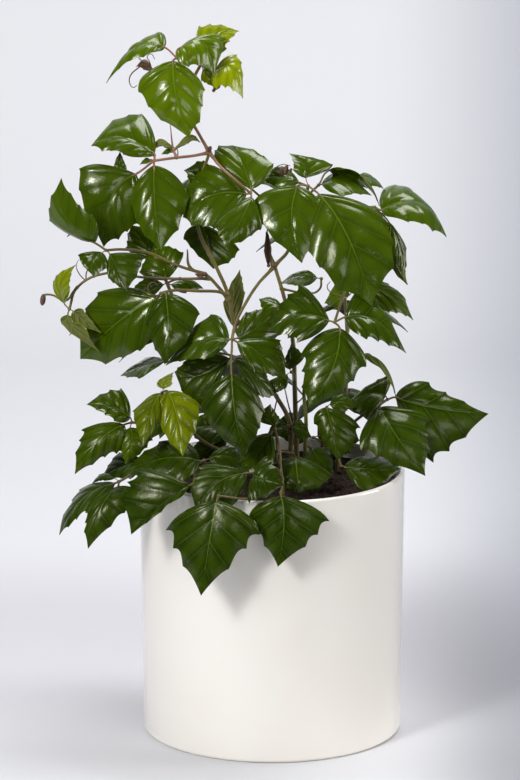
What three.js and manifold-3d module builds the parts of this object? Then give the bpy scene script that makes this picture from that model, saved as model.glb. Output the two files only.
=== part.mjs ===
// Grape ivy (Cissus rhombifolia) growing in a white glazed cylinder pot.
// Millimetres, +Z up. The origin is the centre of the pot's base, which stands on z = 0.
import * as THREE from 'three';
import { mergeVertices } from 'three/addons/utils/BufferGeometryUtils.js';
import Module from 'manifold-3d';

const wasm = await Module();
wasm.setup();

// ---- driving dimensions ----------------------------------------------------------------------
const POT_HEIGHT = 182;
const POT_RIM_RADIUS = 90;
const POT_BASE_RADIUS = 88.2;
const POT_WALL = 3.6;
const POT_FLOOR = 5;
const POT_CORNER = 3;
const POT_SIDES = 36;

const SOIL_TOP = 172.5;
const SOIL_LUMP = 1.8;
const SOIL_WAVELENGTHS = [30, 37, 70, 26];
const SOIL_RINGS = [26, 50, 70];
const SOIL_SIDES = 13;
const ROOT_DEPTH = 24;
const ROOT_HOLE_SIDES = 5;
const ROOT_GAP = 1.2;

const CLEARANCE = 0.35;
const WELD_DISTANCE = 1e-4;
const STEM_SIDES = 5;
const STEM_STEP = 18;
const PETIOLE_RADIUS = 1.3;
const PETIOLE_SIDES = 4;
const HUB_RADIUS = 1.3;

const BLADE_THICKNESS = 0.7;
const STALK_HALF_WIDTH = 0.8;
const WIDEST_AT = 0.38;
const BASE_ROUNDING = 0.6;
const TIP_TAPER = 0.75;
const MIDRIB_STATIONS = [0.3, 0.65];
const SMOOTH_STATION = 0.13;
const TOOTH_STATIONS = [0.38, 0.58, 0.77];
const TOOTH_NOTCH = 0.035;
const TOOTH_OUT = 1.04;
const NOTCH_IN = 0.86;

// ---- the setting-out sheet -------------------------------------------------------------------
// Leaves and stems are set out as (u, v, d). u runs right and v up on an upright sheet through
// the pot's axis. d is how far the point has come off the sheet towards a fixed viewpoint in
// front of the plant, on the line from the sheet to that viewpoint. Negative d lies behind.
const VIEWPOINT = new THREE.Vector3(-8.2, -3000, 957.4);

function place([u, v, d]) {
  const sheet = new THREE.Vector3(u, 0, v);
  return sheet.lerp(VIEWPOINT, -d / VIEWPOINT.y);
}

function placeLeaflet([base, middle, tip, left, right, taper]) {
  return [...[base, middle, tip, left, right].map(place), taper];
}

// ---- leaves ----------------------------------------------------------------------------------
// A leaf has a name, an age, the hub where its stalk ends, and its leaflets.
// A leaflet is base, middle of the midrib, tip, and the widest point of each half. A last number
// is how fast it narrows to the tip, where that differs from TIP_TAPER: less is fuller.
const LEAVES = [
  ['leaf_crown', 'fresh', [-63.5, 463, 12], [
    [[-66, 461, 14], [-64, 437, 27], [-55.5, 409, 30], [-89, 441, 16], [-45, 440, 17], 0.55],
    [[-71.5, 470, 10], [-92, 469.5, 12], [-110.5, 446, 14], [-78.5, 479, -6], [-86, 464, 22]],
    [[-63.5, 468, 12], [-46, 473, 8], [-39, 450.5, 6], [-34.5, 478.5, -8], [-55.5, 457.5, 20], 0.6],
  ]],
  ['leaf_top', 'young', [-47.5, 458.5, -9], [
    [[-48, 462, -12], [-38, 477, -16], [-22, 481, -14], [-48, 484, -26], [-31, 469, -6]],
    [[-39, 453.5, -8], [-27, 456, -6], [-19.5, 435.5, -4], [-23, 465, -18], [-37, 442.5, 6]],
    [[-46, 455, -8], [-43, 451, -6], [-39, 443.5, -2], [-39, 455, -12], [-47, 447, -1]],
  ]],
  ['leaf_upper_left', 'old', [-79, 393.5, 10], [
    [[-78.5, 398, 9], [-101, 409.5, 2], [-121, 403.5, 0], [-88, 424.5, -16], [-99, 398, 13], 0.25],
    [[-91, 384.5, 10], [-108, 368, 16], [-113, 334.5, 20], [-129, 387, 6], [-90, 350.5, 15], 0.6],
    [[-79, 390.5, 12], [-78.5, 362, 26], [-74.5, 331.5, 34], [-95, 364, 18], [-55.5, 368, 14], 0.6],
  ]],
  ['leaf_left', 'old', [-111.5, 332.5, 36], [
    [[-119, 337.5, 38], [-136, 350, 48], [-141, 382, 50], [-149, 354, 40], [-121, 357, 42]],
    [[-114, 331, 38], [-121, 324, 50], [-119, 313.5, 54], [-130, 329, 46], [-111, 320, 44]],
    [[-109, 330, 36], [-104, 319, 40], [-97.5, 304.5, 42], [-110, 313, 46], [-86, 327, 28]],
  ]],
  ['leaf_far_left', 'young', [-136.5, 292, 19], [
    [[-140, 296, 20], [-142, 309, 24], [-132, 322.5, 26], [-147.5, 311, 18], [-136, 307, 30]],
    [[-134, 290.5, 21], [-128, 285, 24], [-115, 275.5, 28], [-127, 291, 17], [-134, 283, 30]],
    [[-137.5, 288, 18], [-132, 277, 24], [-116, 262.5, 26], [-141.5, 281, 18], [-125, 278, 33]],
  ]],
  ['leaf_mid_left', 'old', [-75, 303, 31], [
    [[-77, 300.5, 30], [-104, 283, 26], [-129.5, 257.5, 12], [-117, 303, 10], [-89, 264, 34], 0.42],
    [[-72, 303, 33], [-70, 279.5, 50], [-72.5, 253.5, 56], [-85, 280.5, 38], [-49.5, 287.5, 40], 0.62],
  ]],
  ['leaf_shade_left', 'old', [-70.5, 310, 4], [
    [[-71, 312, 4], [-74, 324, -2], [-79, 337, -10], [-89, 318, -4], [-60, 331, 0]],
    [[-73, 309, 4], [-84, 306, 2], [-96, 303, 0], [-86, 313.5, -6], [-84, 299, 8]],
    [[-79, 325, -8], [-85, 336, -14], [-95, 350, -20], [-98, 334, -14], [-74, 345, -20]],
    [[-68, 309, 3], [-57, 311, -4], [-46, 306, -10], [-56, 312, -10], [-58, 303, 2]],
  ]],
  ['leaf_mid_top', 'old', [-14.5, 371.5, 10], [
    [[-14, 374, 8], [-20, 392, -2], [-27, 404, -16], [-40, 396, -6], [0, 392, -4], 0.6],
    [[-17, 371, 10], [-40.5, 370, 16], [-60, 355, 14], [-44.5, 390, 2], [-39, 347.5, 26], 0.55],
    [[-14, 369, 12], [-21, 353, 26], [-31.5, 334.5, 34], [-38, 353, 24], [-8, 347, 20], 0.7],
  ]],
  ['leaf_shade_top', 'old', [-47, 354, -15], [
    [[-47, 351, -15], [-43, 336, -11], [-39.5, 319.5, -8], [-59, 340, -12], [-22, 332, -16], 0.7],
    [[-42, 358, -18], [-45, 378, -22], [-59, 387, -22], [-55, 371, -14], [-43, 392, -26]],
  ]],
  ['leaf_great', 'old', [24, 376.5, 1], [
    [[17, 376.5, 3], [13, 352, 18], [20, 323.5, 28], [-13, 362.5, 10], [35.5, 355, 12], 0.65],
    [[31, 371, 4], [51, 341, 22], [67, 294.5, 40], [22, 333, 24], [78, 351, 8], 0.42],
    [[22.5, 382, 0], [22, 391, -6], [11.5, 398.5, -8], [14, 388, 2], [40, 391, -16]],
    [[18, 379, -2], [6, 383, -8], [-8, 381, -14], [6, 390, -16], [4, 374, -2]],
  ]],
  ['leaf_right_top', 'old', [31, 377, -14], [
    [[33, 377.5, -14], [48, 379.5, -14], [66.5, 370, -14], [46, 385, -36], [47.5, 369.5, 2]],
    [[38, 387, -22], [59.5, 383, -22], [71.5, 362.5, -20], [52, 387, -14], [57.5, 376.5, -34]],
    [[57.5, 383, -30], [67.5, 381, -32], [74.5, 374.5, -32], [64, 384.5, -44], [66, 376.5, -22]],
  ]],
  ['leaf_right_arm', 'old', [68.5, 362, -8], [
    [[73, 360, -8], [99, 365, -8], [117, 341.5, -2], [82.5, 377.5, -34], [91, 353, 10], 0.3],
    [[78, 352, -14], [86, 334, -12], [87.5, 314.5, -8], [77, 332, -8], [89.5, 334, -18]],
    [[74, 354, -16], [80, 330, -22], [91, 308.5, -20], [86, 334, -32], [76, 328, -22]],
  ]],
  ['leaf_right', 'old', [42, 283, 39], [
    [[38.5, 284, 38], [18, 288, 38], [-2, 277, 36], [18, 308, 22], [16.5, 269.5, 48], 0.65],
    [[45.5, 279, 40], [41, 251.5, 56], [24.5, 223, 62], [20, 261, 44], [62.5, 252, 44], 0.55],
    [[49, 286.5, 38], [70, 284, 42], [90.5, 261.5, 44], [63, 304.5, 26], [63, 271.5, 52], 0.6],
  ]],
  ['leaf_right_low', 'fresh', [54, 304.5, 8], [
    [[57, 305, 7], [76, 304, 8], [95, 284.5, 10], [78, 310, -6], [78.5, 290, 18], 0.6],
    [[52, 302, 6], [44, 301, -2], [35, 296, -8], [45, 312, -10], [42, 293, 4]],
  ]],
  ['leaf_centre', 'old', [-27, 271.5, 48], [
    [[-29, 271, 48], [-50, 270, 46], [-72, 253, 42], [-42, 288, 34], [-47, 257, 56]],
    [[-23, 272, 46], [-10, 279.5, 34], [5.5, 292, 20], [-17, 290, 30], [2, 270, 26], 0.55],
    [[-27.5, 248, 54], [-25, 219, 67], [-18, 189, 68], [-48, 221, 55], [-5, 221, 57]],
    [[-24, 269.5, 47], [-9, 262, 48], [10, 243, 46], [5, 270, 34], [-12, 249, 56]],
  ]],
  ['leaf_shade_centre', 'old', [-27.5, 258.5, 36], [
    [[-29, 258, 36], [-50, 246, 32], [-66, 249, 24], [-55, 260, 22], [-49, 226, 38]],
    [[-26, 257, 34], [-12, 246, 32], [2, 232, 28], [-6, 250, 20], [-10, 232, 40]],
  ]],
  ['leaf_lime', 'young', [-74.5, 234, 40], [
    [[-75, 234, 42], [-82, 220.5, 54], [-87.5, 196.5, 66], [-94, 221.5, 46], [-74, 216.5, 52]],
    [[-71, 235.5, 42], [-64.5, 218.5, 54], [-60.5, 189.5, 68], [-78, 214.5, 50], [-49, 225, 44], 0.55],
    [[-73.5, 237, 38], [-73, 243, 30], [-66.5, 248.5, 24], [-78, 241, 28], [-67.5, 241, 36]],
  ]],
  ['leaf_grey', 'old', [-70.5, 255.5, 10], [
    [[-72.5, 256, 10], [-88, 252.5, 12], [-102.5, 246, 14], [-86, 257.5, -12], [-90, 245, 34]],
  ]],
  ['leaf_low_left', 'fresh', [-95, 213.5, 34], [
    [[-96, 217, 34], [-110, 225, 34], [-125.5, 226, 30], [-103, 237.5, 22], [-107, 214.5, 42]],
    [[-100, 212, 36], [-117, 201, 46], [-134, 177, 46], [-128, 208, 34], [-106, 192, 42]],
    [[-96, 210, 36], [-95, 198, 42], [-99.5, 184, 44], [-105.5, 198, 38], [-81, 201, 30]],
  ]],
  ['leaf_low_right', 'old', [78, 229.5, 6], [
    [[72.5, 224, 12], [84, 204.5, 30], [104, 176, 34], [61, 194, 34], [107, 215, 12]],
    [[83.5, 231, 4], [114, 223, 4], [146.5, 219.5, -4], [105.5, 241, -8], [110, 186.5, 16], 0.9],
    [[76.5, 232, 4], [65.5, 233.5, 3], [50, 226.5, 2], [78, 247, -10], [63.5, 216.5, 17], 0.6],
  ]],
  ['leaf_low_inner', 'old', [37, 224, 14], [
    [[36.5, 224, 16], [41, 207, 24], [44.5, 187, 28], [28.5, 212.5, 18], [59.5, 209.5, 20], 0.5],
    [[39, 226, 13], [47, 228, 12], [58, 224, 10], [47, 235, 4], [48, 220, 16]],
  ]],
  ['leaf_pale', 'young', [59, 260, 8], [
    [[61.5, 260.5, 8], [76, 252.5, 10], [83.5, 230.5, 12], [70.5, 257.5, 2], [71, 252, 16]],
  ]],
  ['leaf_front', 'old', [-36.5, 162, 101], [
    [[-37.5, 159, 103], [-42, 134, 111], [-48.5, 91.5, 115], [-72, 137.5, 96], [-9.5, 135, 110]],
  ]],
  ['leaf_front_right', 'old', [6, 164.5, 94], [
    [[6, 162, 97], [8, 141, 103], [4, 112, 106], [-15.5, 146, 96], [38, 143.5, 96]],
  ]],
  ['leaf_sweep', 'old', [-104, 172, 44], [
    [[-106.5, 171, 44], [-129, 160, 46], [-145, 134.5, 44], [-130.5, 166, 28], [-125, 150.5, 58], 0.55],
    [[-104.5, 169, 46], [-116.5, 153.5, 60], [-125.5, 124.5, 64], [-126.5, 150.5, 54], [-90.5, 159, 58]],
    [[-107, 174.5, 41], [-115, 175.5, 38], [-123, 169.5, 36], [-115, 178, 30], [-114, 172.5, 38]],
  ]],
  ['leaf_rim_left', 'old', [-53.5, 170.5, 81], [
    [[-55.5, 169.5, 84], [-73.5, 157, 88], [-96, 135, 86], [-93.5, 179.5, 72], [-68, 157, 96], 0.36],
  ]],
  ['leaf_silver', 'old', [-86.5, 187.5, 30], [
    [[-88, 187, 30], [-101, 183, 28], [-115, 176.5, 26], [-104, 192, 12], [-97, 174, 38]],
  ]],
  ['leaf_wide_left', 'old', [-46, 187, 52], [
    [[-49, 186.5, 52], [-72.5, 188.5, 54], [-102, 178, 50], [-66.5, 203.5, 34], [-64, 172, 66], 0.5],
    [[-43, 188, 50], [-30, 190, 46], [-15.5, 181.5, 42], [-29, 197.5, 34], [-28, 177.5, 54], 0.6],
  ]],
  ['leaf_rim_centre', 'old', [-6, 177, 78], [
    [[-17, 178, 84], [-38, 170.5, 93], [-51.5, 149.5, 97], [-49, 182.5, 84], [-28, 155, 97], 0.5],
    [[-12.5, 176.5, 84], [-7, 174.5, 90], [8, 169.5, 92], [-3, 190, 78], [-15, 157, 99], 0.5],
  ]],
  ['leaf_soil_front', 'old', [14, 192, 28], [
    [[16, 189.5, 30], [17, 177.5, 42], [18.5, 163.5, 48], [-7.5, 177.5, 34], [40.5, 175.5, 36], 0.6],
  ]],
  ['leaf_soil_left', 'old', [2, 209, 36], [
    [[-0.5, 206, 38], [-9.5, 192, 48], [-19.5, 177.5, 56], [-19.5, 197.5, 40], [0, 184.5, 54], 0.6],
    [[2, 211, 34], [-2, 217.5, 30], [-1, 226.5, 26], [-11.5, 216.5, 30], [4.5, 218, 26]],
  ]],
  ['leaf_soil_mid', 'old', [11, 211, 12], [
    [[10, 211, 13], [4, 209, 16], [-4, 204, 18], [3, 216, 10], [3, 203, 20]],
    [[13, 211, 13], [19, 209, 15], [27, 203, 16], [20, 215, 10], [18, 202, 20]],
  ]],
  ['leaf_soil_back', 'old', [28, 203, -42], [
    [[25, 204, -42], [14, 209, -42], [0, 207, -40], [12, 221, -50], [13, 198, -36]],
    [[31, 204, -43], [43.5, 205.5, -44], [59.5, 201, -46], [36.5, 223.5, -52], [43.5, 188, -34], 0.5],
  ]],
  ['leaf_dark_left', 'old', [-27, 206, 4], [
    [[-30, 208, 4], [-43.5, 211, 2], [-57.5, 209.5, 2], [-38, 223, -8], [-44, 197, 14], 0.6],
    [[-30, 204, 4], [-43, 194, 8], [-60, 186.5, 10], [-47, 203.5, -2], [-39.5, 183, 18], 0.6],
  ]],
  ['leaf_soil_right', 'old', [25, 197, 16], [
    [[27, 195, 16], [33, 187, 20], [42, 176.5, 24], [39.5, 194, 6], [21.5, 181.5, 26]],
  ]],
  ['leaf_rim_right', 'old', [47, 183, 28], [
    [[49, 182.5, 30], [67, 181, 32], [87.5, 181, 22], [65.5, 190.5, 14], [64, 166, 44], 0.6],
  ]],
  ['leaf_stem_side', 'old', [13, 248.5, 14], [
    [[10, 247, 16], [3, 241, 20], [1, 233, 22], [-5, 240, 16], [9, 237, 22]],
    [[12, 250.5, 13], [14, 258.5, 9], [12.5, 268, 6], [7.5, 256, 8], [21.5, 259, 6]],
  ]],
  ['leaf_slate', 'old', [33, 313, -19], [
    [[30, 313.5, -20], [18, 315, -19], [5, 309.5, -18], [19.5, 318, -36], [19.5, 307.5, 2]],
  ]],
  ['leaf_slate_small', 'old', [9, 291, -8], [
    [[7, 292, -9], [0, 296.5, -12], [-9, 299, -14], [1, 300, -20], [-5, 288, -6]],
  ]],
  ['leaf_spear', 'young', [-26, 277, -5], [
    [[-26, 280, -7], [-26, 299, -12], [-21.5, 319.5, -14], [-32.5, 297, -14], [-18.5, 304, -12]],
  ]],
];

// The leaves at the back of the plant spread their three leaflets by one rule: a name, the hub,
// the compass heading of the middle leaflet (90 is straight back), its droop and its length.
const SPREAD_LEAVES = [
  ['leaf_back_1', [-52, 226, -70], 120, 38, 58],
  ['leaf_back_2', [-92, 290, -44], 155, 25, 50],
  ['leaf_back_3', [-64, 278, -80], 96, 35, 50],
  ['leaf_back_4', [-96, 366, -40], 135, 25, 54],
  ['leaf_back_5', [-18, 258, -74], 92, 40, 58],
  ['leaf_back_6', [46, 236, -70], 60, 40, 56],
  ['leaf_back_7', [53, 296, -56], 82, 32, 46],
  ['leaf_back_8', [36, 352, -58], 95, 28, 56],
  ['leaf_back_9', [-30, 386, -46], 95, 28, 50],
];
const SIDE_ANGLE = 76;
const SIDE_LENGTH = 0.86;
const HALF_WIDTH = 0.33;
const SPREAD_STALK = 6;
const ARCH = 0.12;
const SAG = 0.3;

function spreadLeaf([name, hubPoint, heading, droop, length]) {
  const hub = place(hubPoint);
  const up = new THREE.Vector3(0, 0, 1);
  const leaflets = [-1, 0, 1].map((side) => {
    const turn = THREE.MathUtils.degToRad(heading + side * SIDE_ANGLE);
    const fall = THREE.MathUtils.degToRad(droop);
    const reach = side === 0 ? length : length * SIDE_LENGTH;
    const out = new THREE.Vector3(Math.cos(turn), Math.sin(turn), 0);
    const across = new THREE.Vector3(-out.y, out.x, 0);
    const along = out.clone().multiplyScalar(Math.cos(fall)).addScaledVector(up, -Math.sin(fall));
    const base = hub.clone().addScaledVector(out, SPREAD_STALK);
    const tip = base.clone().addScaledVector(along, reach);
    const middle = base.clone().lerp(tip, 0.5).addScaledVector(up, ARCH * reach);
    const widest = midribOf(base, middle, tip).getPoint(WIDEST_AT);
    const half = HALF_WIDTH * reach;
    const edges = [1, -1].map((hand) => (
      widest.clone().addScaledVector(across, hand * half).addScaledVector(up, -SAG * half)));
    return [base, middle, tip, ...edges];
  });
  return { name, age: 'old', hub, leaflets };
}

function midribOf(base, middle, tip) {
  const control = middle.clone().multiplyScalar(2).addScaledVector(base, -0.5).addScaledVector(tip, -0.5);
  return new THREE.QuadraticBezierCurve3(base, control, tip);
}

// Half width along the leaflet, 1 at its widest: a round base and a drawn-out tip.
function widthAt(s, taper) {
  if (s < WIDEST_AT) {
    return Math.sin((Math.PI / 2) * (s / WIDEST_AT)) ** BASE_ROUNDING;
  }
  return ((1 - s) / (1 - WIDEST_AT)) ** taper;
}

// One margin from the stalk to the last tooth. Each tooth points outwards, with the notch close
// behind it, as on holly.
function marginOf(midrib, widest, taper) {
  const reach = widest.clone().sub(midrib.getPoint(WIDEST_AT));
  const at = (s, spread) => ({
    s,
    point: midrib.getPoint(s).addScaledVector(reach, widthAt(s, taper) * spread),
  });
  const neck = { s: 0, point: midrib.getPoint(0).add(reach.clone().setLength(STALK_HALF_WIDTH)) };
  const teeth = TOOTH_STATIONS.flatMap((s) => [at(s, TOOTH_OUT), at(s + TOOTH_NOTCH, NOTCH_IN)]);
  return [neck, at(SMOOTH_STATION, 1), ...teeth];
}

// Fills the strip between the midrib and one margin, both ordered from base to tip.
function stripFaces(rib, margin, flip) {
  const faces = [];
  let i = 0;
  let j = 0;
  while (i < rib.length - 1 || j < margin.length - 1) {
    const nextRib = i < rib.length - 1 ? rib[i + 1].s : Infinity;
    const nextMargin = j < margin.length - 1 ? margin[j + 1].s : Infinity;
    const stepRib = nextRib < nextMargin;
    const third = stepRib ? rib[i + 1].id : margin[j + 1].id;
    const face = [rib[i].id, margin[j].id, third];
    if (new Set(face).size === 3) {
      faces.push(flip ? [face[0], face[2], face[1]] : face);
    }
    if (stepRib) {
      i += 1;
    } else {
      j += 1;
    }
  }
  return faces;
}

// A thin closed blade on a flat stalk from the hub: the same triangles on both faces, with half
// the thickness to each side. The hub and the tip stand at -1 and 1 along it.
function blade(hub, [base, middle, tip, left, right, taper = TIP_TAPER]) {
  const midrib = midribOf(base, middle, tip);
  const points = [];
  const add = ({ s, point }) => {
    points.push(point);
    return { s, id: points.length - 1 };
  };
  const foot = add({ s: -1, point: hub });
  const end = add({ s: 1, point: tip });
  const rib = [foot, ...[0, ...MIDRIB_STATIONS].map((s) => add({ s, point: midrib.getPoint(s) })), end];
  const leftMargin = [foot, ...marginOf(midrib, left, taper).map(add), end];
  const rightMargin = [foot, ...marginOf(midrib, right, taper).map(add), end];
  const faces = [...stripFaces(rib, leftMargin, false), ...stripFaces(rib, rightMargin, true)];
  const outline = [...leftMargin, ...rightMargin.slice(1, -1).reverse()].map(({ id }) => id);

  const normals = points.map(() => new THREE.Vector3());
  for (const [a, b, c] of faces) {
    const ab = points[b].clone().sub(points[a]);
    const ac = points[c].clone().sub(points[a]);
    const normal = ab.cross(ac);
    for (const id of [a, b, c]) {
      normals[id].add(normal);
    }
  }
  const half = BLADE_THICKNESS / 2;
  const upper = points.map((p, id) => p.clone().addScaledVector(normals[id].normalize(), half));
  const lower = points.map((p, id) => p.clone().addScaledVector(normals[id], -half));
  const count = points.length;
  const triangles = [];
  for (const [a, b, c] of faces) {
    triangles.push([a, b, c], [a + count, c + count, b + count]);
  }
  outline.forEach((id, k) => {
    const next = outline[(k + 1) % outline.length];
    triangles.push([id, id + count, next], [next, id + count, next + count]);
  });
  return solidOf([...upper, ...lower], triangles);
}

function solidOf(points, triangles) {
  const vertProperties = new Float32Array(points.flatMap((p) => p.toArray()));
  const triVerts = new Uint32Array(triangles.flat());
  return new wasm.Manifold(new wasm.Mesh({ numProp: 3, vertProperties, triVerts }));
}

function solidFromGeometry(geometry) {
  geometry.deleteAttribute('normal');
  geometry.deleteAttribute('uv');
  const merged = mergeVertices(geometry, WELD_DISTANCE);
  return new wasm.Manifold(new wasm.Mesh({
    numProp: 3,
    vertProperties: new Float32Array(merged.attributes.position.array),
    triVerts: new Uint32Array(merged.index.array),
  }));
}

function geometryOf(solid) {
  const mesh = solid.getMesh();
  const geometry = new THREE.BufferGeometry();
  geometry.setAttribute('position', new THREE.BufferAttribute(mesh.vertProperties, 3));
  geometry.setIndex(new THREE.BufferAttribute(mesh.triVerts, 1));
  return geometry;
}

function join(solids) {
  return solids.reduce((whole, solid) => whole.add(solid));
}

function bead(centre, radius) {
  const geometry = new THREE.OctahedronGeometry(radius, 0);
  geometry.translate(centre.x, centre.y, centre.z);
  return solidFromGeometry(geometry);
}

function tube(points, radius) {
  const sides = radius < PETIOLE_RADIUS ? PETIOLE_SIDES : STEM_SIDES;
  const curve = new THREE.CatmullRomCurve3(points, false, 'centripetal');
  const section = new THREE.Shape();
  for (let k = 0; k < sides; k += 1) {
    const angle = (k / sides) * Math.PI * 2;
    const corner = [radius * Math.cos(angle), radius * Math.sin(angle)];
    if (k === 0) {
      section.moveTo(...corner);
    } else {
      section.lineTo(...corner);
    }
  }
  const steps = Math.max(1, Math.round(curve.getLength() / STEM_STEP));
  return solidFromGeometry(new THREE.ExtrudeGeometry(section, {
    steps,
    extrudePath: curve,
    bevelEnabled: false,
  }));
}

function leafSolid(hub, leaflets) {
  return join([bead(hub, HUB_RADIUS), ...leaflets.map((leaflet) => blade(hub, leaflet))]);
}

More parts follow.
